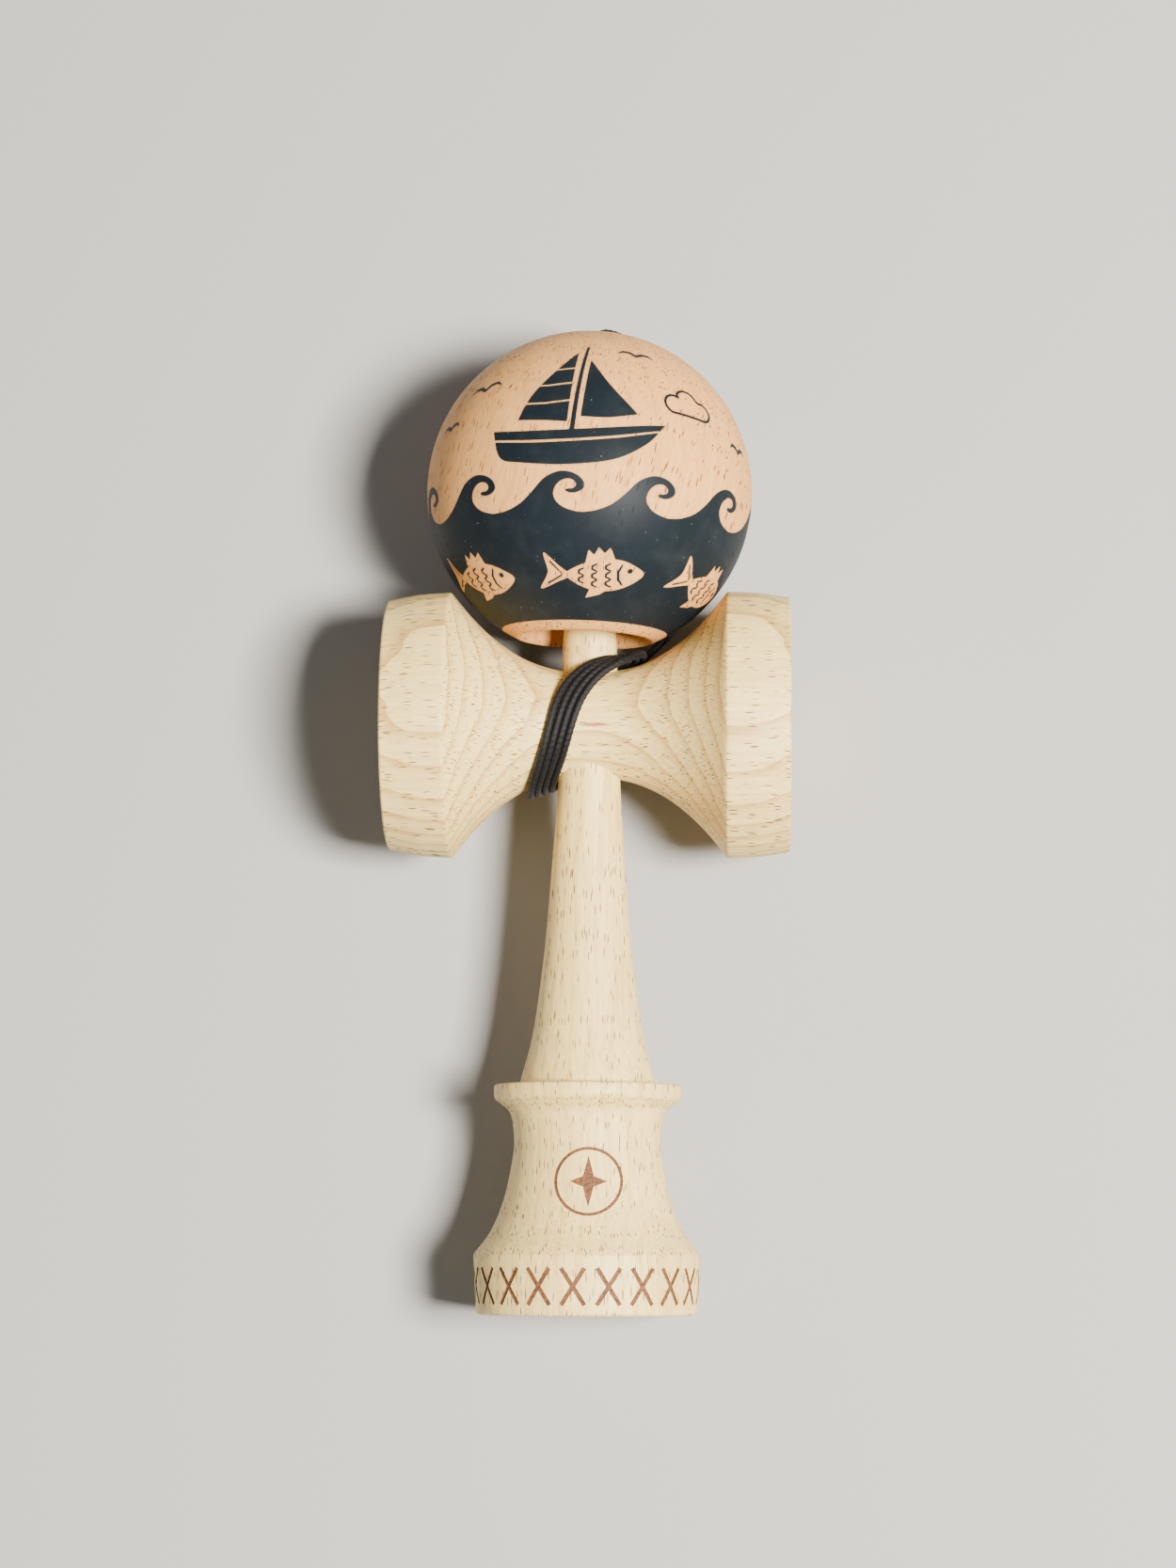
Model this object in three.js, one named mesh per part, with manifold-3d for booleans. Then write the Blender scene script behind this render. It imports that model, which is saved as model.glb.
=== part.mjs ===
// A kendama, the wooden cup-and-ball toy, lying on its side at rest.
// Units are millimetres, +Z is up and the floor is z = 0. The handle's axis runs along Y,
// with the spike and the ball towards +Y, and the cross piece's axis runs along X.
// The handle (ken), the cross piece (sarado), the ball (tama), its bead and the string are
// separate solids. A lathe-turned piece is first made about its own Y axis.
import * as THREE from "three";
import { mergeVertices } from "three/addons/utils/BufferGeometryUtils.js";
import Module from "manifold-3d";

const wasm = await Module();
wasm.setup();

// ---- Driving dimensions -------------------------------------------------------------------
const ROUND_STEPS = 36; // facets round a turned piece
const GAP = 0.3; // air between pieces that would touch

// Handle. Heights along its axis count from the cross piece's axis, with + towards the tip.
const KEN_TIP = 54;
const KEN_BASE = -107.8;
const SHAFT_TOP_R = 5.0; // at SHAFT_TOP, just above the cross piece
const SHAFT_TOP = 14;
const SHAFT_LOW_R = 5.75; // at SHAFT_LOW, just below the cross piece
const SHAFT_LOW = -11.5;
const TIP_R = 2.9;
const COLLAR_R = 17.1;
const COLLAR_TOP = -66.3;
const COLLAR_LOW = -69.7;
const WAIST_R = 13.4;
const WAIST = -75.5;
const BASE_R = 20.6;
const BASE_TOP = -97.1;
const BASE_LIP_R = 20.1;
const BASE_EDGE = 0.7; // rounding of the lip's outer edge
const BASE_CUP_R = 17.2;
const BASE_CUP_DEPTH = 8.5;

// Cross piece. Distances along its axis count from the handle's axis.
const SARADO_HALF = 37;
const SARADO_WAIST_R = 9.7;
const SHOULDER_R = 24.5;
const SHOULDER = 25.4;
const FLANK_POWER = 2.35; // how late the waist flares out into the cups
const BIG_CUP = { lipR: 23.2, innerR: 21.2, depth: 10.5 };
const SMALL_CUP = { lipR: 23.5, innerR: 20.2, depth: 9 };

// Ball, its stepped hole and what is in it.
const TAMA_R = 30;
const TAMA_AHEAD = 42.5; // its centre, ahead of the cross piece's axis
const MOUTH_R = 12.5;
const MOUTH_CHAMFER = 0.8;
const BORE_R = 11.5;
const BORE_DEPTH = 41; // of the full bore, from the mouth
const CONE_DEPTH = 47;
const CHAMBER_R = 4.4;
const CHAMBER_DEPTH = 52;
const STRING_HOLE_R = 1.5;
const COUNTERSINK_R = 3;
const COUNTERSINK_DEPTH = 1.6;
const BEAD_R = 3.75;
const BEAD_BORE_R = 1.05;
const BEAD_AHEAD = 20.5; // its centre, ahead of the ball's centre

// String.
const STRING_D = 1.3;
const TURNS = 4;
const KNOT_R = 1.6;
const KNOT_POCKET_R = 2.1;
const STRING_SIDES = 8;

// ---- Where the pieces lie -----------------------------------------------------------------
// The handle rests on the cross piece's shoulders and on the top edge of its base, so it rises
// a little towards the ball, which rests on the floor by itself.
const HANDLE_RISE = Math.asin((SHOULDER_R - BASE_R) / -BASE_TOP);
const SARADO_Y = 18.1; // puts the middle of the length, without the string, at y = 0
const TAMA_CENTRE = new THREE.Vector3(0, SARADO_Y + TAMA_AHEAD, TAMA_R);
const TAMA_DIP = THREE.MathUtils.degToRad(3.4); // its mouth dips to the floor
const TAMA_LEAN = THREE.MathUtils.degToRad(1.9); // its far pole leans to +X

// ---- Materials ----------------------------------------------------------------------------
const finish = (color, roughness) =>
  new THREE.MeshStandardMaterial({ color, roughness, metalness: 0 });
const BEECH = finish(0xf0dcb8, 0.55);
const BALL_PAINT = finish(0x1f2a33, 0.5);
const BEAD_WOOD = finish(0xdcbc8a, 0.5);
const STRING_BLACK = finish(0x15161a, 0.85);

// ---- Helpers ------------------------------------------------------------------------------
const v2 = (x, y) => new THREE.Vector2(x, y);

// A sealed solid of manifold-3d from a closed geometry, and a geometry from a solid.
function toSolid(geometry) {
  const bare = geometry.index ? geometry.toNonIndexed() : geometry.clone();
  bare.deleteAttribute("normal");
  bare.deleteAttribute("uv");
  const merged = mergeVertices(bare, 1e-4);
  return new wasm.Manifold(
    new wasm.Mesh({
      numProp: 3,
      vertProperties: merged.attributes.position.array,
      triVerts: new Uint32Array(merged.index.array),
    }),
  );
}

function toGeometry(solid) {
  const mesh = solid.getMesh();
  const geometry = new THREE.BufferGeometry();
  geometry.setAttribute("position", new THREE.BufferAttribute(mesh.vertProperties, 3));
  geometry.setIndex(new THREE.BufferAttribute(mesh.triVerts, 1));
  geometry.computeVertexNormals();
  return geometry;
}

// The geometry with each tool's shape taken out of it.
function cut(geometry, ...tools) {
  return toGeometry(tools.reduce((solid, tool) => solid.subtract(toSolid(tool)), toSolid(geometry)));
}

// Points on a smooth curve through the given (radius, height) points.
const smooth = (points, steps) => new THREE.SplineCurve(points).getPoints(steps);

// Points of an arc about (centreR, centreY), between two angles in degrees.
function arc(centreR, centreY, radius, from, to, steps) {
  return Array.from({ length: steps + 1 }, (_, i) => {
    const angle = THREE.MathUtils.degToRad(from + ((to - from) * i) / steps);
    return v2(centreR + radius * Math.cos(angle), centreY + radius * Math.sin(angle));
  });
}

// The floor of a shallow round cup, from its middle out to its edge.
function dish(edgeR, edgeY, depth, side, steps) {
  const radius = (edgeR ** 2 + depth ** 2) / (2 * depth);
  return Array.from({ length: steps + 1 }, (_, i) => {
    const r = (edgeR * i) / steps;
    const rise = depth - radius + Math.sqrt(radius ** 2 - r ** 2);
    return v2(r, edgeY - side * rise);
  });
}

const turned = (profile) => new THREE.LatheGeometry(profile, ROUND_STEPS);

// A tube of the string's section along a curve.
function stringAlong(curve, steps, diameter = STRING_D) {
  const ring = new THREE.Shape(
    Array.from({ length: STRING_SIDES }, (_, i) => {
      const angle = (2 * Math.PI * i) / STRING_SIDES;
      return v2((diameter / 2) * Math.cos(angle), (diameter / 2) * Math.sin(angle));
    }),
  );
  return new THREE.ExtrudeGeometry(ring, { steps, extrudePath: curve });
}

// ---- Handle -------------------------------------------------------------------------------
function kenGeometry() {
  const shaft = smooth(
    [
      v2(11.5, -62.8),
      v2(9.9, -56),
      v2(8.0, -41.5),
      v2(6.75, -26),
      v2(SHAFT_LOW_R, SHAFT_LOW),
      v2(SHAFT_TOP_R, SHAFT_TOP),
    ],
    9,
  );
  const waist = smooth(
    [
      v2(BASE_R - 0.3, BASE_TOP + 0.5),
      v2(17.4, -92.6),
      v2(15.1, -86.8),
      v2(13.6, -79.5),
      v2(WAIST_R, WAIST),
      v2(14.1, -71.5),
      v2(15.7, COLLAR_LOW - 0.2),
    ],
    11,
  );
  const profile = [
    ...dish(BASE_CUP_R, KEN_BASE, BASE_CUP_DEPTH, -1, 5),
    ...arc(BASE_LIP_R - BASE_EDGE, KEN_BASE + BASE_EDGE, BASE_EDGE, -90, 0, 3),
    v2(BASE_R, BASE_TOP),
    ...waist,
    ...arc(COLLAR_R - 1.7, (COLLAR_TOP + COLLAR_LOW) / 2, 1.7, -80, 80, 6),
    v2(14.6, COLLAR_TOP + 0.4),
    v2(12.9, -64.7),
    ...shaft,
    v2(TIP_R + 0.05, KEN_TIP - TIP_R + 0.3),
    ...arc(0, KEN_TIP - TIP_R, TIP_R, 25, 90, 4),
  ];
  profile[0].x = 0;
  profile[profile.length - 1].x = 0;
  const hole = new THREE.CylinderGeometry(1, 1, 20, 16).rotateX(Math.PI / 2).translate(0, 0, -8);
  const pocket = new THREE.CylinderGeometry(KNOT_POCKET_R, KNOT_POCKET_R, 8, 20);
  pocket.rotateX(Math.PI / 2).translate(0, 0, 5.4);
  return cut(turned(profile), hole, pocket);
}

// ---- Cross piece --------------------------------------------------------------------------
const flankRadius = (x) =>
  SARADO_WAIST_R + (SHOULDER_R - SARADO_WAIST_R) * (Math.abs(x) / SHOULDER) ** FLANK_POWER;

function saradoGeometry() {
  const FLANK_STEPS = 14;
  const flank = Array.from({ length: FLANK_STEPS + 1 }, (_, i) => {
    const x = -SHOULDER + (2 * SHOULDER * i) / FLANK_STEPS;
    return v2(flankRadius(x), x);
  });
  const big = dish(BIG_CUP.innerR, -SARADO_HALF, BIG_CUP.depth, -1, 5);
  const small = dish(SMALL_CUP.innerR, SARADO_HALF, SMALL_CUP.depth, 1, 5);
  const profile = [
    ...big,
    ...arc(BIG_CUP.lipR - 0.6, -SARADO_HALF + 0.6, 0.6, -90, 0, 2),
    v2((BIG_CUP.lipR + SHOULDER_R) / 2 + 0.3, -(SARADO_HALF + SHOULDER) / 2),
    ...flank,
    v2((SMALL_CUP.lipR + SHOULDER_R) / 2 + 0.3, (SARADO_HALF + SHOULDER) / 2),
    ...arc(SMALL_CUP.lipR - 0.6, SARADO_HALF - 0.6, 0.6, 0, 90, 2),
    ...small.reverse(),
  ];
  profile[0].x = 0;
  profile[profile.length - 1].x = 0;
  // The tapered hole for the handle, and the string's hole in the side that lies down.
  const BORE_HALF = 14;
  const shaftRadius = (s) =>
    SHAFT_LOW_R + ((SHAFT_TOP_R - SHAFT_LOW_R) * (s - SHAFT_LOW)) / (SHAFT_TOP - SHAFT_LOW);
  const bore = new THREE.CylinderGeometry(
    shaftRadius(BORE_HALF) + GAP,
    shaftRadius(-BORE_HALF) + GAP,
    2 * BORE_HALF,
    ROUND_STEPS,
  );
  const hole = new THREE.CylinderGeometry(1.5, 1.5, 14, 20);
  hole.rotateX(Math.PI / 2).translate(0, 0, -7 - 3);
  return cut(turned(profile).rotateZ(-Math.PI / 2), bore, hole);
}

// ---- Ball ---------------------------------------------------------------------------------
function tamaGeometry() {
  const mouthY = -Math.sqrt(TAMA_R ** 2 - MOUTH_R ** 2);
  const from = THREE.MathUtils.radToDeg(Math.atan2(mouthY, MOUTH_R));
  const to = THREE.MathUtils.radToDeg(Math.acos(COUNTERSINK_R / TAMA_R));
  const poleY = Math.sqrt(TAMA_R ** 2 - COUNTERSINK_R ** 2);
  const profile = [
    v2(BORE_R + 0.2, mouthY + MOUTH_CHAMFER),
    ...arc(0, 0, TAMA_R, from, to, 17),
    v2(STRING_HOLE_R, poleY - COUNTERSINK_DEPTH),
    v2(STRING_HOLE_R, mouthY + CHAMBER_DEPTH),
    v2(CHAMBER_R, mouthY + CHAMBER_DEPTH),
    v2(CHAMBER_R, mouthY + CONE_DEPTH),
    v2(BORE_R, mouthY + BORE_DEPTH),
    v2(BORE_R + 0.2, mouthY + MOUTH_CHAMFER),
  ];
  return turned(profile);
}

// A bored, rounded wooden bead.
function beadGeometry() {
  const edge = THREE.MathUtils.radToDeg(Math.acos((BEAD_BORE_R + 0.2) / BEAD_R));
  const wall = arc(0, 0, BEAD_R, -edge, edge, 8);
  const end = wall[wall.length - 1].y;
  const profile = [v2(BEAD_BORE_R, -end), ...wall, v2(BEAD_BORE_R, end), v2(BEAD_BORE_R, -end)];
  return new THREE.LatheGeometry(profile, 20);
}

function knotGeometry() {
  const profile = arc(0, 0, KNOT_R, -90, 90, 8);
  profile[0].x = 0;
  profile[profile.length - 1].x = 0;
  return new THREE.LatheGeometry(profile, 12);
}

// ---- String -------------------------------------------------------------------------------
// One turn round the cross, seen from its upper side, as (x, s, z) from the cross's middle.
// It dips through the gap beside the spike and through the gap beside the handle's shaft,
// and comes back the same way on the under side.
const WRAP_FRONT = [
  [8.4, 12.6, 0],
  [7.5, 12.3, 3.9],
  [4.6, 11.2, 6.6],
  [0.9, 9.3, 8.3],
  [-2.4, 5.4, 10],
  [-4.0, 1.7, 11],
  [-4.9, -1.8, 11],
  [-6.2, -6.3, 9.9],
  [-8.0, -10.6, 6.4],
  [-8.9, -12.6, 2],
];

class WrapPath extends THREE.CatmullRomCurve3 {
  // Flat side in: the section's first axis stands out from the wood all the way round.
  computeFrenetFrames(steps) {
    const tangents = [];
    const normals = [];
    const binormals = [];
    for (let i = 0; i <= steps; i++) {
      const at = this.getPointAt(i / steps);
      const along = this.getTangentAt(i / steps);
      const rim = Math.hypot(at.y, at.z);
      const slope = 0.036 * at.x;
      const out = new THREE.Vector3(-slope, at.y / rim, at.z / rim);
      out.addScaledVector(along, -out.dot(along)).normalize();
      tangents.push(along);
      normals.push(out);
      binormals.push(new THREE.Vector3().crossVectors(along, out));
    }
    return { tangents, normals, binormals };
  }
}

function wrapsGeometry() {
  const front = WRAP_FRONT.map((p) => new THREE.Vector3(...p));
  const back = WRAP_FRONT.slice(1).reverse().map(([x, s, z]) => new THREE.Vector3(x, s, -z));
  const path = new WrapPath([...front, ...back, new THREE.Vector3(8.4, 12.6, -0.4)]);
  const thick = STRING_D / 2 + 0.05;
  const wide = (TURNS * STRING_D) / 2;
  const section = new THREE.Shape([
    v2(-thick, -wide + 0.4),
    v2(-thick + 0.4, -wide),
    v2(thick - 0.4, -wide),
    v2(thick, -wide + 0.4),
    v2(thick, wide - 0.4),
    v2(thick - 0.4, wide),
    v2(-thick + 0.4, wide),
    v2(-thick, wide - 0.4),
  ]);
  return new THREE.ExtrudeGeometry(section, { steps: 40, extrudePath: path });
}

// From the winding, under the ball, round to its string hole and in as far as the bead's knot,
// as (x, y, z) from the ball's centre. All but the first few points lean with the ball.
const LEADER_FREE = 3;
const LEADER = [
  [8.6, -27.8, -7.1],
  [10.7, -27.6, -9.9],
  [12.9, -26, -11.6],
  [16.4, -22, -14.8],
  [20, -15.6, -18],
  [22.3, -8.1, -20.1],
  [23.1, 0, -20.8],
  [22.3, 8.1, -20.1],
  [20, 15.6, -18],
  [16.4, 22, -14.8],
  [11.6, 27, -10.4],
  [7.1, 29.6, -6.4],
  [4, 30.7, -3.6],
  [1.9, 30.8, -1.7],
  [0.9, 30.4, -0.8],
  [0.2, 29.5, -0.2],
  [0, 28.2, 0],
  [0, 24.3, 0],
  [0, 17.1, 0],
];

// ---- Assembly -----------------------------------------------------------------------------
function part(name, geometry, material, ...at) {
  const mesh = new THREE.Mesh(geometry, material);
  mesh.name = name;
  mesh.position.set(...at);
  return mesh;
}

const KNOT_HEIGHT = 3.3;
const BACK_EXIT = SARADO_WAIST_R + 0.2;

const handle = new THREE.Group();
handle.position.set(0, SARADO_Y, SHOULDER_R);
handle.rotation.x = HANDLE_RISE;
const corePath = new THREE.LineCurve3(
  new THREE.Vector3(0, 0, KNOT_HEIGHT - KNOT_R - GAP),
  new THREE.Vector3(0, 0, -BACK_EXIT),
);
handle.add(
  part("ken", kenGeometry(), BEECH, 0, 0, 0),
  part("sarado", saradoGeometry(), BEECH, 0, 0, 0),
  part("string_wraps", wrapsGeometry(), STRING_BLACK, 0, 0, 0),
  part("string_core", stringAlong(corePath, 4), STRING_BLACK, 0, 0, 0),
  part("ken_knot", knotGeometry(), STRING_BLACK, 0, 0, KNOT_HEIGHT),
);

const ball = new THREE.Group();
ball.position.copy(TAMA_CENTRE);
ball.rotation.set(TAMA_DIP, 0, -TAMA_LEAN);
ball.add(
  part("tama", tamaGeometry(), BALL_PAINT, 0, 0, 0),
  part("bead", beadGeometry(), BEAD_WOOD, 0, BEAD_AHEAD, 0),
  part("bead_knot", knotGeometry(), STRING_BLACK, 0, BEAD_AHEAD - BEAD_R - KNOT_R + 0.1, 0),
);

const leaderPath = new THREE.CatmullRomCurve3(
  LEADER.map((p, i) => {
    const point = new THREE.Vector3(...p);
    return (i < LEADER_FREE ? point : point.applyEuler(ball.rotation)).add(TAMA_CENTRE);
  }),
);

const kendama = new THREE.Group();
kendama.add(handle, ball, part("string_leader", stringAlong(leaderPath, 46), STRING_BLACK, 0, 0, 0));

export default kendama;
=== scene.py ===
"""A kendama lying on its side: turned beech handle and cross piece, painted ball, wound string.

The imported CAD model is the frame. Every turned piece is made again here with fine surfaces from
the same driving dimensions, the string is laid at its full length, and each piece gets its finish.
Sizes in the classes are millimetres; MM turns them into the frame's metres when a mesh is placed.
"""
import logging
import math
from dataclasses import dataclass, field
from enum import Enum
from typing import Callable, Iterable, Sequence, Union

import bmesh
import bpy
import numpy as np
from mathutils import Matrix, Vector


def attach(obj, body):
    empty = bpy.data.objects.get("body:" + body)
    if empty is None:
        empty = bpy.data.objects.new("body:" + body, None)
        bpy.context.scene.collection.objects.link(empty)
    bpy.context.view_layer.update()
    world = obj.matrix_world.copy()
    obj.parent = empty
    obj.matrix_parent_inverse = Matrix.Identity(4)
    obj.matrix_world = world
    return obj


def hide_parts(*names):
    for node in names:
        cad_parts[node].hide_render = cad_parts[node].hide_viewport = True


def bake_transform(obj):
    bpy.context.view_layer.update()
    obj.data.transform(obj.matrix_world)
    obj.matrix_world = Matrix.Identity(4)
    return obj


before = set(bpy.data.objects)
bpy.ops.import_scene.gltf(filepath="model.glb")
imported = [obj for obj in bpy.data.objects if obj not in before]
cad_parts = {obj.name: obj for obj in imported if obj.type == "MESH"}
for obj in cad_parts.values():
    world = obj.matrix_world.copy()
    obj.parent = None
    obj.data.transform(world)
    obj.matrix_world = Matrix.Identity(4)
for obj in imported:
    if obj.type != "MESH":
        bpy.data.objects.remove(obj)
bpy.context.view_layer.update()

logging.basicConfig(level=logging.INFO, format="%(message)s")
log = logging.getLogger("kendama")

MM = 0.001
Point = tuple[float, float]
Colour = tuple[float, float, float]
Profile = list[Point]


# ---- Shader helpers -------------------------------------------------------------------------
class Value:
    """A node's output that carries a number; arithmetic on it adds Math nodes."""

    def __init__(self, sheet: "NodeSheet", socket: bpy.types.NodeSocket) -> None:
        """Keeps the output and the sheet that its next nodes are added to."""
        self.sheet = sheet
        self.socket = socket

    def math(self, operation: str, *others: "Number", swap: bool = False) -> "Value":
        """Adds one Math node.

        Args:
            operation: the Math node's operation.
            others: the values after this one.
            swap: True puts this value second, for the reflected operators.

        Returns:
            The node's result.
        """
        values = [*others, self] if swap else [self, *others]
        inputs = dict(enumerate(values))
        return self.sheet.add("ShaderNodeMath", inputs, operation=operation)

    def __add__(self, other: "Number") -> "Value":
        """This value plus the other."""
        return self.math("ADD", other)

    __radd__ = __add__

    def __sub__(self, other: "Number") -> "Value":
        """This value less the other."""
        return self.math("SUBTRACT", other)

    def __rsub__(self, other: "Number") -> "Value":
        """The other value less this one."""
        return self.math("SUBTRACT", other, swap=True)

    def __mul__(self, other: "Number") -> "Value":
        """This value times the other."""
        return self.math("MULTIPLY", other)

    __rmul__ = __mul__

    def __truediv__(self, other: "Number") -> "Value":
        """This value over the other."""
        return self.math("DIVIDE", other)

    def __pow__(self, other: "Number") -> "Value":
        """This value to a power."""
        return self.math("POWER", other)

    def clamp(self) -> "Value":
        """This value held between 0 and 1."""
        return self.sheet.add("ShaderNodeClamp", {"Value": self})

    def step(self, low: float, high: float) -> "Value":
        """0 below low, 1 above high and a smooth rise between them."""
        inputs = {"Value": self, "From Min": low, "From Max": high}
        return self.sheet.add("ShaderNodeMapRange", inputs, interpolation_type="SMOOTHSTEP")


Number = Union[float, Value]


class NodeSheet:
    """A material's node tree with one Principled shader, filled from Python expressions."""

    def __init__(self, name: str) -> None:
        """Starts an empty material of that name."""
        self.material = bpy.data.materials.new(name)
        self.material.use_nodes = True
        self.tree = self.material.node_tree
        self.tree.nodes.clear()
        output = self.tree.nodes.new("ShaderNodeOutputMaterial")
        self.shader = self.tree.nodes.new("ShaderNodeBsdfPrincipled")
        self.tree.links.new(self.shader.outputs[0], output.inputs[0])

    def add(self, kind: str, inputs: dict, output: Union[int, str] = 0, **settings) -> Value:
        """Adds any node.

        Args:
            kind: the node's type.
            inputs: socket name or number to a constant or a Value.
            output: the output wanted.
            settings: the node's own settings, set before its sockets.

        Returns:
            The wanted output.
        """
        node = self.tree.nodes.new(kind)
        for key, value in settings.items():
            setattr(node, key, value)
        for key, value in inputs.items():
            self.feed(node.inputs[key], value)
        return Value(self, node.outputs[output])

    def feed(self, socket: bpy.types.NodeSocket, value: object) -> None:
        """Links a Value to a socket, or sets the constant on it."""
        if isinstance(value, Value):
            self.tree.links.new(value.socket, socket)
        elif isinstance(value, tuple) and len(value) == 3 and socket.type == "RGBA":
            socket.default_value = (*value, 1.0)
        else:
            socket.default_value = value

    def shade(self, **inputs: object) -> None:
        """Feeds the Principled shader's sockets; an underscore in a name stands for a space."""
        for key, value in inputs.items():
            self.feed(self.shader.inputs[key.replace("_", " ")], value)

    def mix(self, factor: Number, low: object, high: object) -> Value:
        """One colour going over into another, by factor."""
        return self.add("ShaderNodeMix", {0: factor, 6: low, 7: high}, 2, data_type="RGBA")

    def vector(self, x: Number, y: Number, z: Number) -> Value:
        """A vector from three numbers."""
        return self.add("ShaderNodeCombineXYZ", {0: x, 1: y, 2: z})

    def split(self, vector: Value) -> tuple[Value, Value, Value]:
        """The three numbers of a vector."""
        first = self.add("ShaderNodeSeparateXYZ", {0: vector})
        outputs = first.socket.node.outputs
        return tuple(Value(self, outputs[i]) for i in range(3))

    def noise(self, at: Value, scale: float, detail: float = 2.0, rough: float = 0.5) -> Value:
        """Noise between 0 and 1."""
        inputs = {"Vector": at, "Scale": scale, "Detail": detail, "Roughness": rough}
        return self.add("ShaderNodeTexNoise", inputs, "Fac")

    def bump(self, height: Value, depth: float, strength: float = 1.0) -> Value:
        """A normal bent by a height of up to depth metres."""
        inputs = {"Strength": strength, "Distance": depth, "Height": height}
        return self.add("ShaderNodeBump", inputs, "Normal")

    def place_mm(self, centre: Sequence[float], turn: Sequence[float]) -> tuple[Value, ...]:
        """Object coordinates in millimetres about a centre, turned so that X follows a line.

        Args:
            centre: the pattern's middle in the frame, in metres.
            turn: Euler turns, in radians, that bring the line onto X.

        Returns:
            x, y and z as Values.
        """
        at = self.add("ShaderNodeTexCoord", {}, "Object")
        moved = {0: at, 1: tuple(centre)}
        shifted = self.add("ShaderNodeVectorMath", moved, operation="SUBTRACT")
        inputs = {"Vector": shifted, "Rotation": tuple(turn), "Scale": (1 / MM,) * 3}
        return self.split(self.add("ShaderNodeMapping", inputs))


# ---- Finishes -------------------------------------------------------------------------------
class Grain(Enum):
    """The line in the frame that a piece's wood fibres follow, as turns that bring it onto X."""

    LENGTHWAYS = (0.0, 0.0, -math.pi / 2)
    CROSSWAYS = (0.0, 0.0, 0.0)
    BALL = (0.0, math.radians(8), -math.radians(75))


@dataclass(frozen=True)
class Beech:
    """Bare, fine-sanded beech: pale fibres, short dark ray flecks and faint growth rings."""

    name: str
    grain: Grain
    centre: tuple[float, float, float]
    pale: Colour = (0.88, 0.665, 0.250)
    deep: Colour = (0.54, 0.330, 0.095)
    fleck: Colour = (0.105, 0.050, 0.020)
    ring_gap: float = 3.1
    ring_dark: float = 0.5
    ring_wave: float = 8.0
    pith: Point = (31.0, 17.0)
    flecks: float = 0.9
    roughness: float = 0.52

    def colour(self, sheet: NodeSheet) -> tuple[Value, Value]:
        """Adds the wood pattern, whose scales are per millimetre: small along the fibres.

        Args:
            sheet: the material's nodes.

        Returns:
            The wood's colour, and its relief from 0 in a pore to 1 on the surface.
        """
        along, across, through = sheet.place_mm(self.centre, self.grain.value)
        slow = sheet.vector(along * 0.018, across * 0.06, through * 0.06)
        warp = sheet.noise(slow, 1.0, 3.0) - 0.5
        away = (across + self.pith[0]) ** 2.0 + (through + self.pith[1]) ** 2.0
        rings = (away**0.5 + warp * self.ring_wave) / self.ring_gap
        late = rings.math("FRACT") ** 4.0
        band = sheet.noise(sheet.vector(rings * 0.35, 0.0, 0.0), 1.0, 1.0)
        streaks = sheet.noise(sheet.vector(along * 0.05, across * 1.6, through * 1.6), 1.0, 3.0)
        fibre = sheet.noise(sheet.vector(along * 0.35, across * 7.0, through * 7.0), 1.0, 2.0)
        sway = sheet.noise(sheet.vector(along * 0.09, across * 0.2, 0.0), 1.0)
        bent = across + (sway - 0.5) * 1.2
        ray_at = sheet.vector(along * 0.26, bent * 2.6, through * 0.8)
        ray = sheet.add("ShaderNodeTexVoronoi", {"Vector": ray_at, "Scale": 1.0}, "Distance")
        chance = sheet.split(Value(sheet, ray.socket.node.outputs["Color"]))[0]
        ray_mask = (1.0 - ray.step(0.21, 0.29)) * chance.step(0.30, 0.50)
        pore_at = sheet.vector(along * 0.7, across * 4.6, through * 4.6)
        pore = sheet.add("ShaderNodeTexVoronoi", {"Vector": pore_at, "Scale": 1.0}, "Distance")
        pore_mask = 1.0 - pore.step(0.10, 0.24)
        tone = (streaks - 0.5) * 1.3 + late * self.ring_dark + (band - 0.5) * 0.5
        tone = tone + (fibre - 0.5) * 0.55
        wood = sheet.mix((tone + 0.22).clamp(), self.pale, self.deep)
        wood = sheet.mix(pore_mask * 0.14, wood, self.fleck)
        wood = sheet.mix(ray_mask * self.flecks, wood, self.fleck)
        relief = 1.0 - ray_mask * 0.6 - pore_mask * 0.2 + fibre * 0.2
        return wood, relief

    def dress(self, extra: Callable[[NodeSheet, Value], Value] | None = None) -> bpy.types.Material:
        """Makes the material.

        Args:
            extra: changes the colour further, given the sheet and the wood's colour.

        Returns:
            The material.
        """
        sheet = NodeSheet(self.name)
        wood, relief = self.colour(sheet)
        wood = extra(sheet, wood) if extra else wood
        rough = (1.0 - relief) * 0.3 + self.roughness
        sheet.shade(Base_Color=wood, Roughness=rough, Normal=sheet.bump(relief, 0.04 * MM, 0.6))
        sheet.shade(Specular_IOR_Level=0.35)
        return sheet.material


@dataclass(frozen=True)
class BurntWood:
    """The brown floor of a mark burnt into the wood."""

    name: str = "burnt_mark"
    brown: Colour = (0.200, 0.077, 0.021)
    black: Colour = (0.072, 0.026, 0.010)

    def dress(self) -> bpy.types.Material:
        """Makes the material."""
        sheet = NodeSheet(self.name)
        at = sheet.vector(*sheet.place_mm((0, 0, 0), (0, 0, 0)))
        scorch = sheet.noise(at, 2.2, 4.0, 0.6)
        fine = sheet.noise(at, 14.0, 2.0)
        colour = sheet.mix(scorch.step(0.35, 0.65), self.brown, self.black)
        sheet.shade(Base_Color=colour, Roughness=fine * 0.2 + 0.7)
        sheet.shade(Normal=sheet.bump(fine, 0.03 * MM, 0.5))
        return sheet.material


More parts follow.
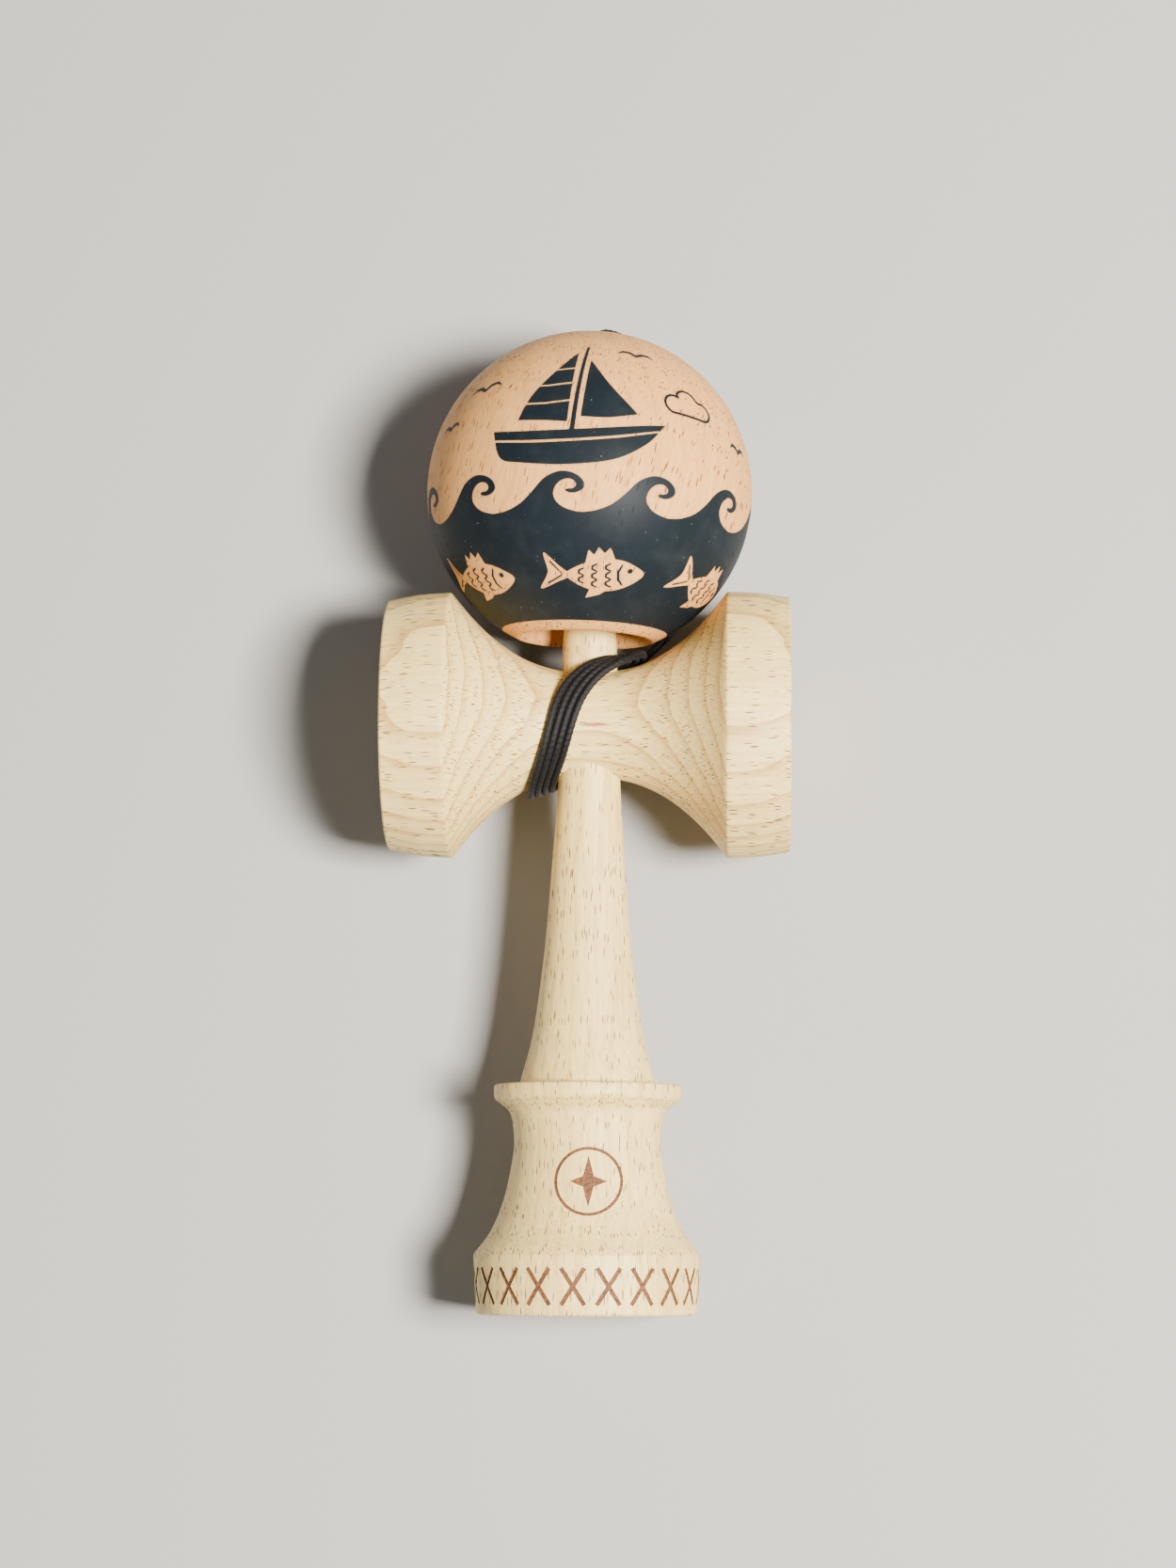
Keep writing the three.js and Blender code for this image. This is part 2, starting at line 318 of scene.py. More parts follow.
@dataclass(frozen=True)
class BallPaint:
    """Matt dark paint over part of the ball's wood, by the ball's own paint distance."""

    wood: Beech
    name: str = "ball_paint"
    ink: Colour = (0.0070, 0.0110, 0.0145)
    worn: Colour = (0.022, 0.028, 0.031)
    speck: Colour = (0.32, 0.33, 0.30)
    scorch: Colour = (0.25, 0.11, 0.05)
    edge: float = 0.035

    def dress(self) -> bpy.types.Material:
        """Makes the material."""
        sheet = NodeSheet(self.name)
        wood, relief = self.wood.colour(sheet)
        at = sheet.vector(*sheet.place_mm(self.wood.centre, (0, 0, 0)))
        inside = sheet.add("ShaderNodeAttribute", {}, "Fac", attribute_name="paint")
        ragged = (sheet.noise(at, 3.5, 2.0) - 0.5) * 0.10
        paint = (inside + ragged).step(-self.edge, self.edge)
        cloud = sheet.noise(at, 0.22, 4.0, 0.6)
        grain = sheet.noise(at, 4.5, 3.0, 0.6)
        dots = sheet.add("ShaderNodeTexVoronoi", {"Vector": at, "Scale": 0.62}, "Distance")
        dust = (1.0 - dots.step(0.045, 0.085)) * grain.step(0.45, 0.6)
        ink = sheet.mix(cloud.step(0.42, 0.80) * 0.38, self.ink, self.worn)
        ink = sheet.mix(dust * 0.55, ink, self.speck)
        scorched = ((inside + ragged).step(-0.34, -0.02) * 0.30).clamp()
        bare = sheet.mix(scorched, wood, self.scorch)
        rough = (1.0 - relief) * 0.3 + self.wood.roughness
        rough = rough + paint * ((cloud - 0.5) * 0.12)
        height = paint * 0.8 + relief * (1.0 - paint * 0.7) + grain * 0.12
        sheet.shade(Base_Color=sheet.mix(paint, bare, ink), Roughness=rough)
        sheet.shade(Normal=sheet.bump(height, 0.045 * MM, 0.6), Specular_IOR_Level=0.1)
        return sheet.material


@dataclass(frozen=True)
class BraidedCord:
    """Black braided cord: bundles of fine threads with a soft sheen and painted crown highlights.
    """

    name: str = "braided_cord"
    black: Colour = (0.0012, 0.0012, 0.0014)
    # painted highlight colour, laid on the crowns of the bundles and threads
    crest_highlight: Colour = (0.019, 0.019, 0.020)
    bundles: int = 8
    pitch: float = 2.3
    threads: int = 5

    def dress(self) -> bpy.types.Material:
        """Makes the material, which reads the piece's UV map: u round it, v along it in mm."""
        sheet = NodeSheet(self.name)
        uv = sheet.add("ShaderNodeUVMap", {}, uv_map="UVMap")
        round_, along, _ = sheet.split(uv)
        one = (round_ * (self.bundles / 2) + along / self.pitch) * math.tau
        two = (round_ * (self.bundles / 2) - along / self.pitch) * math.tau
        lobes = one.math("COSINE") * two.math("COSINE")
        over = lobes.step(-0.2, 0.2)
        fine_one = (one * self.threads).math("COSINE") * 0.5 + 0.5
        fine_two = (two * self.threads).math("COSINE") * 0.5 + 0.5
        threads = fine_one * over + fine_two * (1.0 - over)
        fuzz = sheet.noise(sheet.vector(round_ * 9.0, along * 2.0, 0.0), 3.0, 3.0)
        # painted highlight: thread crests and bundle crowns are coloured lighter, with random fuzz
        # tone mixed in
        highlight_and_fuzz = (threads * 0.45 + lobes * lobes * 0.5 + (fuzz - 0.5) * 0.5).clamp()
        sheet.shade(Base_Color=sheet.mix(highlight_and_fuzz, self.black, self.crest_highlight))
        sheet.shade(Roughness=fuzz * 0.25 + 0.38, Specular_IOR_Level=0.16)
        sheet.shade(Normal=sheet.bump(threads * 0.6 + fuzz * 0.4, 0.05 * MM, 0.8))
        sheet.shade(Sheen_Weight=0.02, Sheen_Roughness=0.4)
        return sheet.material


@dataclass(frozen=True)
class PaleFloor:
    """The plain studio floor."""

    name: str = "studio_floor"
    colour: Colour = (0.37, 0.365, 0.35)

    def dress(self) -> bpy.types.Material:
        """Makes the material."""
        sheet = NodeSheet(self.name)
        sheet.shade(Base_Color=self.colour, Roughness=0.9, Specular_IOR_Level=0.1)
        return sheet.material


# ---- Outline helpers ------------------------------------------------------------------------
def arc(centre: Point, radius: float, start: float, end: float, steps: int) -> Profile:
    """Points on an arc, with its angles in degrees."""
    angles = [math.radians(start + (end - start) * i / steps) for i in range(steps + 1)]
    return [(centre[0] + radius * math.cos(a), centre[1] + radius * math.sin(a)) for a in angles]


def smooth(points: Sequence[Sequence[float]], steps: int, closed: bool = False) -> list[tuple]:
    """A Catmull-Rom curve through points.

    Args:
        points: the points that it goes through, of any dimension.
        steps: pieces between one point and the next.
        closed: True joins the last point to the first.

    Returns:
        The curve's points, without the repeated first one on a closed curve.
    """
    given = [np.array(p, dtype=float) for p in points]
    count = len(given)
    curve: list[tuple] = []
    for i in range(count if closed else count - 1):
        if closed:
            a, b, c, d = (given[(i + k) % count] for k in (-1, 0, 1, 2))
        else:
            a, b, c, d = (given[min(max(i + k, 0), count - 1)] for k in (-1, 0, 1, 2))
        for j in range(steps):
            t = j / steps
            p = b + 0.5 * t * (c - a + t * (2 * a - 5 * b + 4 * c - d + t * (3 * (b - c) + d - a)))
            curve.append(tuple(float(v) for v in p))
    if not closed:
        curve.append(tuple(float(v) for v in given[-1]))
    return curve


def dish(edge: float, lip: float, depth: float, side: int, steps: int) -> Profile:
    """A shallow round hollow's floor, from its middle out to its edge.

    Args:
        edge: the hollow's radius at its lip.
        lip: where the lip is along the axis.
        depth: how deep the middle is.
        side: 1 if the hollow opens towards + on the axis, -1 if towards -.
        steps: pieces from the middle to the edge.

    Returns:
        Points as (radius, place along the axis).
    """
    radius = (edge**2 + depth**2) / (2 * depth)
    at = [edge * math.sin(0.5 * math.pi * i / steps) for i in range(steps + 1)]
    return [(r, lip - side * (depth - radius + math.sqrt(radius**2 - r**2))) for r in at]


# ---- Mesh helpers ---------------------------------------------------------------------------
def turned(profile: Profile, steps: int, closed: bool = False) -> bmesh.types.BMesh:
    """Turns a profile round the Y axis.

    Args:
        profile: points as (radius, place along the axis), in millimetres.
        steps: facets round the axis.
        closed: True joins the last point to the first, for a piece bored right through.

    Returns:
        The closed mesh.
    """
    bm = bmesh.new()
    verts = [bm.verts.new((r, s, 0.0)) for r, s in profile]
    pairs = list(zip(verts, verts[1:] + verts[:1])) if closed else list(zip(verts, verts[1:]))
    edges = [bm.edges.new(pair) for pair in pairs]
    bmesh.ops.spin(bm, geom=verts + edges, cent=(0, 0, 0), axis=(0, 1, 0), dvec=(0, 0, 0),
                   angle=math.tau, steps=steps, use_merge=True, use_duplicate=False)
    bmesh.ops.remove_doubles(bm, verts=bm.verts, dist=1e-5)
    bmesh.ops.recalc_face_normals(bm, faces=bm.faces)
    return bm


def rod(radius: float, length: float, where: Matrix, top: float | None = None) -> bmesh.types.BMesh:
    """A closed cylinder or cone, made along Z about its middle and then moved."""
    bm = bmesh.new()
    end = radius if top is None else top
    bmesh.ops.create_cone(bm, cap_ends=True, segments=64, radius1=radius, radius2=end,
                          depth=length, matrix=where)
    return bm


def as_object(bm: bmesh.types.BMesh, name: str,
              materials: Iterable[bpy.types.Material]) -> bpy.types.Object:
    """Puts a mesh into the scene as an object with those materials, and frees it."""
    mesh = bpy.data.meshes.new(name)
    bm.to_mesh(mesh)
    bm.free()
    for material in materials:
        mesh.materials.append(material)
    obj = bpy.data.objects.new(name, mesh)
    bpy.context.scene.collection.objects.link(obj)
    return obj


def tube(bm: bmesh.types.BMesh, uv: bmesh.types.BMLayerItem, rings: Sequence[list],
         along: Sequence[float], closed: bool = False) -> None:
    """Joins rings of vertices into a tube, with u round it and v along it.

    Args:
        bm: the mesh that holds the rings.
        uv: its UV layer.
        rings: the rings in order, each a list of vertices.
        along: v at each ring, and once more at the end of a closed tube.
        closed: True joins the last ring to the first.
    """
    count, sides = len(rings), len(rings[0])
    for i in range(count if closed else count - 1):
        low, high = rings[i], rings[(i + 1) % count]
        start, end = along[i], along[i + 1]
        for k in range(sides):
            n = (k + 1) % sides
            face = bm.faces.new((low[k], low[n], high[n], high[k]))
            corners = ((k, start), (k + 1, start), (k + 1, end), (k, end))
            for loop, (u, v) in zip(face.loops, corners):
                loop[uv].uv = (u / sides, v)


def carve(target: bpy.types.Object, tool: bpy.types.Object) -> None:
    """Takes the tool's shape out of the target and removes the tool.

    Args:
        target: the object that is cut; it keeps its materials and gains the tool's.
        tool: a closed mesh.
    """
    cut = target.modifiers.new("cut", "BOOLEAN")
    cut.operation = "DIFFERENCE"
    cut.solver = "EXACT"
    cut.material_mode = "TRANSFER"
    cut.object = tool
    graph = bpy.context.evaluated_depsgraph_get()
    mesh = bpy.data.meshes.new_from_object(target.evaluated_get(graph))
    target.modifiers.clear()
    target.data = mesh
    bpy.data.objects.remove(tool)


def settle(obj: bpy.types.Object, where: Matrix, body: str, sharp: float = 32.0) -> None:
    """Moves a finished piece into the frame and joins it to its body.

    Args:
        obj: the piece, in millimetres about its own origin.
        where: its place in the frame.
        body: the CAD body that it rides on.
        sharp: edges that turn by more than this many degrees are shaded sharp.
    """
    obj.data.transform(where @ Matrix.Scale(MM, 4))
    bm = bmesh.new()
    bm.from_mesh(obj.data)
    for face in bm.faces:
        face.smooth = True
    for edge in bm.edges:
        edge.smooth = edge.calc_face_angle(0.0) < math.radians(sharp)
    bm.to_mesh(obj.data)
    bm.free()
    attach(obj, body)
    log.info("%s: %d faces on %s", obj.name, len(obj.data.polygons), body)


# ---- Where the two groups lie ---------------------------------------------------------------
@dataclass(frozen=True)
class Lie:
    """How the toy lies: the handle rises a little to the ball, whose mouth dips to the floor."""

    shoulder_r: float = 24.5
    base_r: float = 20.6
    base_top: float = 97.1
    cross_y: float = 18.1
    tama_r: float = 30.0
    tama_ahead: float = 42.5
    tama_dip: float = math.radians(3.4)
    tama_lean: float = math.radians(1.9)

    @property
    def rise(self) -> float:
        """The handle's slope, in radians."""
        return math.asin((self.shoulder_r - self.base_r) / self.base_top)

    @property
    def handle(self) -> Matrix:
        """The cross's middle, with Y along the handle towards its tip."""
        at = Vector((0, self.cross_y, self.shoulder_r)) * MM
        return Matrix.Translation(at) @ Matrix.Rotation(self.rise, 4, "X")

    @property
    def ball_centre(self) -> Matrix:
        """The ball's centre, square to the frame."""
        return Matrix.Translation(Vector((0, self.cross_y + self.tama_ahead, self.tama_r)) * MM)

    @property
    def ball(self) -> Matrix:
        """The ball's centre, with Y along its hole to the far pole."""
        dip = Matrix.Rotation(self.tama_dip, 4, "X")
        return self.ball_centre @ dip @ Matrix.Rotation(-self.tama_lean, 4, "Z")


LIE = Lie()
ON_END = Matrix.Rotation(math.radians(90), 4, "X")  # brings a rod from Z onto Y


# ---- Handle ---------------------------------------------------------------------------------
@dataclass
class Ken:
    """The handle: spike, tapered shaft, collar, waist and base cup, turned from one piece."""

    facets: int = 144
    tip: float = 54.0
    tip_r: float = 2.9
    shaft_top: Point = (5.0, 14.0)
    shaft_low: Point = (5.75, -11.5)
    collar_r: float = 17.1
    collar_top: float = -66.3
    collar_low: float = -69.7
    waist: Point = (13.4, -75.5)
    base_r: float = 20.6
    base_top: float = -97.1
    base_end: float = -107.8
    lip_r: float = 20.1
    lip_edge: float = 0.7
    cup_r: float = 17.2
    cup_depth: float = 8.5
    mark_depth: float = 0.22
    marks: int = 20
    mark_start: float = 0.733
    mark_at: float = -102.55
    mark_size: Point = (4.2, 6.5)
    mark_stroke: float = 0.78
    badge_at: float = -84.0
    badge_aside: float = 0.75
    badge_r: float = 6.15
    badge_stroke: float = 0.55

    def profile(self, inset: float = 0.0) -> Profile:
        """The turned outline from the base cup's middle to the tip.

        Args:
            inset: how far the outside is moved in, for the floor of the burnt marks.

        Returns:
            Points as (radius, place along the axis).
        """
        shaft = smooth([(11.5, -62.8), (9.9, -56), (8.0, -41.5), (6.75, -26),
                        self.shaft_low, self.shaft_top], 9)
        waist = smooth([(self.base_r - 0.3, self.base_top + 0.5), (17.4, -92.6), (15.1, -86.8),
                        (13.6, -79.5), self.waist, (14.1, -71.5), (15.7, self.collar_low - 0.2)], 8)
        collar = [*arc((self.collar_r - 1.5, self.collar_low + 1.6), 1.5, -72, 0, 8),
                  *arc((self.collar_r - 0.55, self.collar_top - 0.55), 0.55, 0, 88, 6)]
        edge = (self.lip_r - self.lip_edge, self.base_end + self.lip_edge)
        band = [(self.lip_r + (self.base_r - self.lip_r) * k / 6,
                 edge[1] + (self.base_top - 0.3 - edge[1]) * k / 6) for k in range(1, 7)]
        outside = [
            *arc(edge, self.lip_edge, -90, 0, 6),
            *band,
            (self.base_r, self.base_top),
            *waist,
            *collar,
            (12.75, self.collar_top + 0.05),
            (12.35, self.collar_top + 0.25),
            (12.2, -65.2),
            *shaft,
            *[(self.shaft_top[0] - 1.25 * k / 8, self.shaft_top[1] + 25 * k / 8)
              for k in range(1, 9)],
            (3.2, 49.2),
            *arc((0.0, self.tip - self.tip_r), self.tip_r, 18, 90, 10),
        ]
        cup = dish(self.cup_r, self.base_end, self.cup_depth, -1, 16)
        points = cup + [(max(r - inset, 0.0), s) for r, s in outside]
        points[0] = (0.0, points[0][1])
        points[-1] = (0.0, points[-1][1])
        return points

    def cross_outline(self) -> Profile:
        """One X-shaped mark's outline."""
        half_x, half_y = self.mark_size[0] / 2, self.mark_size[1] / 2
        lean = math.atan2(half_y, half_x)
        reach = math.hypot(half_x, half_y)
        half = self.mark_stroke / 2
        points: Profile = []
        for angle, notch in ((lean, math.pi / 2), (math.pi - lean, math.pi),
                             (math.pi + lean, 1.5 * math.pi), (-lean, 0.0)):
            run = Vector((math.cos(angle), math.sin(angle)))
            side = Vector((-run.y, run.x)) * half
            points += [tuple(run * reach - side), tuple(run * reach + side)]
            opening = lean if notch in (0.0, math.pi) else math.pi / 2 - lean
            away = half / math.sin(opening)
            points.append((away * math.cos(notch), away * math.sin(notch)))
        return points

    def marks_tool(self, burnt: bpy.types.Material) -> bpy.types.Object:
        """Prisms that stand through the surface where each mark is: the X band and the badge."""
        bm = bmesh.new()
        for i in range(self.marks):
            verts = [bm.verts.new((x, y, 0.0)) for x, y in self.cross_outline()]
            face = bm.faces.new(verts)
            solid = bmesh.ops.extrude_face_region(bm, geom=[face])["geom"]
            raised = [g for g in solid if isinstance(g, bmesh.types.BMVert)]
            bmesh.ops.translate(bm, verts=raised, vec=(0, 0, 3.0))
            place = Matrix.Rotation(math.tau * (i + self.mark_start) / self.marks, 4, "Y")
            place = place @ Matrix.Translation((0, self.mark_at, self.base_r - 1.5))
            bmesh.ops.transform(bm, verts=verts + raised, matrix=place)
        self.add_badge(bm)
        bmesh.ops.recalc_face_normals(bm, faces=bm.faces)
        return as_object(bm, "marks_tool", [burnt])

    def add_badge(self, bm: bmesh.types.BMesh) -> None:
        """Adds the badge's prisms: a thin ring round a plain four-pointed star."""
        inner, outer = self.badge_r - self.badge_stroke, self.badge_r
        corners = ((inner, 0), (outer, 0), (outer, 6), (inner, 6))
        rim = [bm.verts.new((r, 0.0, z)) for r, z in corners]
        edges = [bm.edges.new(pair) for pair in zip(rim, rim[1:] + rim[:1])]
        before = set(bm.verts) - set(rim)
        bmesh.ops.spin(bm, geom=rim + edges, cent=(0, 0, 0), axis=(0, 0, 1), dvec=(0, 0, 0),
                       angle=math.tau, steps=72, use_merge=True, use_duplicate=False)
        star = []
        for k in range(8):
            reach = (4.6 if k % 4 == 0 else 3.4) if k % 2 == 0 else 1.35
            angle = math.pi / 4 * k + math.pi / 2
            star.append(bm.verts.new((reach * math.cos(angle), reach * math.sin(angle), 0.0)))
        face = bm.faces.new(star)
        raised = bmesh.ops.extrude_face_region(bm, geom=[face])["geom"]
        top = [g for g in raised if isinstance(g, bmesh.types.BMVert)]
        bmesh.ops.translate(bm, verts=top, vec=(0, 0, 6.0))
        fresh = [v for v in bm.verts if v not in before]
        bmesh.ops.translate(bm, verts=fresh, vec=(self.badge_aside, self.badge_at, 10.5))

    def build(self, string_hole_r: float, pocket_r: float) -> bpy.types.Object:
        """Makes the handle.

        Args:
            string_hole_r: radius of the cross hole for the string.
            pocket_r: radius of the pocket that hides the string's knot.

        Returns:
            The placed handle.
        """
        centre = tuple(LIE.handle.translation)
        wood = Beech("beech_handle", Grain.LENGTHWAYS, centre, pith=(27.0, -19.0),
                     ring_dark=0.3).dress()
        burnt = BurntWood().dress()
        ken = as_object(turned(self.profile(), self.facets), "ken_turned", [wood])
        tool = self.marks_tool(burnt)
        floor = as_object(turned(self.profile(self.mark_depth), self.facets), "mark_floor", [burnt])
        carve(tool, floor)
        carve(ken, tool)
        hole = rod(string_hole_r, 20.0, Matrix.Translation((0, 0, -8)))
        carve(ken, as_object(hole, "string_hole", [wood]))
        pocket = rod(pocket_r, 8.0, Matrix.Translation((0, 0, 5.4)))
        carve(ken, as_object(pocket, "knot_pocket", [wood]))
        settle(ken, LIE.handle, "ken", sharp=21.0)
        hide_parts("ken")
        return ken


# ---- Cross piece ----------------------------------------------------------------------------
@dataclass(frozen=True)
class Cup:
    """One end of the cross piece."""

    lip_r: float
    inner_r: float
    depth: float


@dataclass
class Sarado:
    """The cross piece: a spool with the big cup at its -X end and the small cup at its +X end."""

    facets: int = 168
    half: float = 37.0
    waist_r: float = 9.7
    shoulder_r: float = 24.5
    shoulder: float = 25.4
    flank_power: float = 2.35
    lip_edge: float = 0.6
    big: Cup = Cup(23.2, 21.2, 10.5)
    small: Cup = Cup(23.5, 20.2, 9.0)
    gap: float = 0.12
    string_hole_r: float = 1.5

    def flank(self, x: float) -> float:
        """The spool's radius at a distance from its middle."""
        reach = min(abs(x) / self.shoulder, 1.0)
        return self.waist_r + (self.shoulder_r - self.waist_r) * reach**self.flank_power

    def end(self, cup: Cup, side: int) -> Profile:
        """One end's outline, from the cup's middle round the lip to the shoulder."""
        lip = side * self.half
        bend = 90 * side
        middle = (cup.lip_r + self.shoulder_r) / 2 + 0.3
        band = smooth([(cup.lip_r, lip - side * self.lip_edge),
                       (middle, side * (self.half + self.shoulder) / 2),
                       (self.shoulder_r, side * (self.shoulder + 0.15))], 7)
        corner = (cup.lip_r - self.lip_edge, lip - side * self.lip_edge)
        return [*dish(cup.inner_r, lip, cup.depth, side, 18),
                *arc(corner, self.lip_edge, bend, 0, 6), *band[1:]]

    def profile(self) -> Profile:
        """The whole outline from the big cup's middle to the small cup's."""
        steps = 72
        flank = [(self.flank(x), x) for x in
                 (self.shoulder * (2 * i / steps - 1) for i in range(steps + 1))]
        flank[0] = (self.shoulder_r - 0.1, -self.shoulder + 0.05)
        flank[-1] = (self.shoulder_r - 0.1, self.shoulder - 0.05)
        points = [*self.end(self.big, -1), *flank, *reversed(self.end(self.small, 1))]
        points[0] = (0.0, points[0][1])
        points[-1] = (0.0, points[-1][1])
        return points

    def streak(self, sheet: NodeSheet, wood: Value) -> Value:
        """Adds the small reddish mineral streak in the waist's wood.

        Args:
            sheet: the material's nodes.
            wood: the wood's colour so far.

        Returns:
            The colour with the streak.
        """
        centre = LIE.handle @ (Vector((1.2, -1.6, 0)) * MM)
        x, y, z = sheet.place_mm(tuple(centre), (0, 0, 0))
        wave = (sheet.noise(sheet.vector(x * 0.6, 0.0, 0.0), 1.0) - 0.5) * 0.5
        lens = ((x / 3.4) ** 2.0 + ((y + wave) / 0.42) ** 2.0).math("SQRT")
        mask = (1.0 - lens.step(0.55, 1.05)) * z.step(0.0, 2.0)
        return sheet.mix(mask * 0.88, wood, (0.36, 0.10, 0.05))

    def build(self, ken: Ken) -> bpy.types.Object:
        """Makes the cross piece with its tapered bore for the handle and its string hole."""
        centre = tuple(LIE.handle.translation)
        wood = Beech("beech_cross", Grain.CROSSWAYS, centre, pith=(9.0, 34.0), ring_gap=2.9,
                     ring_dark=0.85, ring_wave=4.5).dress(self.streak)
        bm = turned(self.profile(), self.facets)
        bmesh.ops.transform(bm, verts=bm.verts, matrix=Matrix.Rotation(-math.pi / 2, 4, "Z"))
        sarado = as_object(bm, "sarado_turned", [wood])
        (top_r, top), (low_r, low) = ken.shaft_top, ken.shaft_low
        taper = (top_r - low_r) / (top - low)
        reach = 14.0
        ends = [low_r + taper * (s - low) + self.gap for s in (-reach, reach)]
        bore = rod(ends[0], 2 * reach, ON_END.inverted(), ends[1])
        carve(sarado, as_object(bore, "ken_bore", [wood]))
        hole = rod(self.string_hole_r, 14.0, Matrix.Translation((0, 0, -10)))
        carve(sarado, as_object(hole, "string_hole", [wood]))
        settle(sarado, LIE.handle, "ken")
        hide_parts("sarado")
        return sarado


# ---- Ball -----------------------------------------------------------------------------------
@dataclass
class Shape:
    """One motif on the ball, in millimetres about its own centre: its outlines and strokes.

    Each loop adds paint inside it, or takes it away where cut is True. A stroke is a line of
    points (x, y, half width). The gap is bare wood between it and the paint under it.
    """

    loops: list[tuple[Sequence[Point], bool]] = field(default_factory=list)
    strokes: list[tuple[Sequence[tuple[float, float, float]], bool]] = field(default_factory=list)
    reach: float = 14.0
    gap: float = 0.0


def loop_depth(at: np.ndarray, loop: Sequence[Point]) -> np.ndarray:
    """How far each point is inside a closed outline, negative outside it.

    Args:
        at: points, one row each.
        loop: the outline.

    Returns:
        The signed distances.
    """
    a = np.asarray(loop, dtype=float)
    b = np.roll(a, -1, axis=0)
    edge = b - a
    length = np.maximum((edge**2).sum(axis=1), 1e-12)
    result = np.empty(len(at))
    for start in range(0, len(at), 4000):
        p = at[start:start + 4000, None, :]
        t = np.clip(((p - a) * edge).sum(axis=2) / length, 0, 1)
        far = np.sqrt(((p - a - t[..., None] * edge) ** 2).sum(axis=2)).min(axis=1)
        crosses = (a[:, 1] > p[..., 1]) != (b[:, 1] > p[..., 1])
        rise = np.where(edge[:, 1] == 0, 1e-12, edge[:, 1])
        left = p[..., 0] < edge[:, 0] * (p[..., 1] - a[:, 1]) / rise + a[:, 0]
        inside = (crosses & left).sum(axis=1) % 2 == 1
        result[start:start + 4000] = np.where(inside, far, -far)
    return result


def stroke_depth(at: np.ndarray, line: Sequence[tuple[float, float, float]]) -> np.ndarray:
    """How far each point is inside a stroke of changing width, negative outside it."""
    path = np.asarray(line, dtype=float)
    best = np.full(len(at), -1e3)
    for a, b in zip(path, path[1:]):
        edge = b[:2] - a[:2]
        t = np.clip(((at - a[:2]) @ edge) / max(edge @ edge, 1e-12), 0, 1)
        far = np.hypot(*(at - a[:2] - t[:, None] * edge).T)
        best = np.maximum(best, a[2] + (b[2] - a[2]) * t - far)
    return best


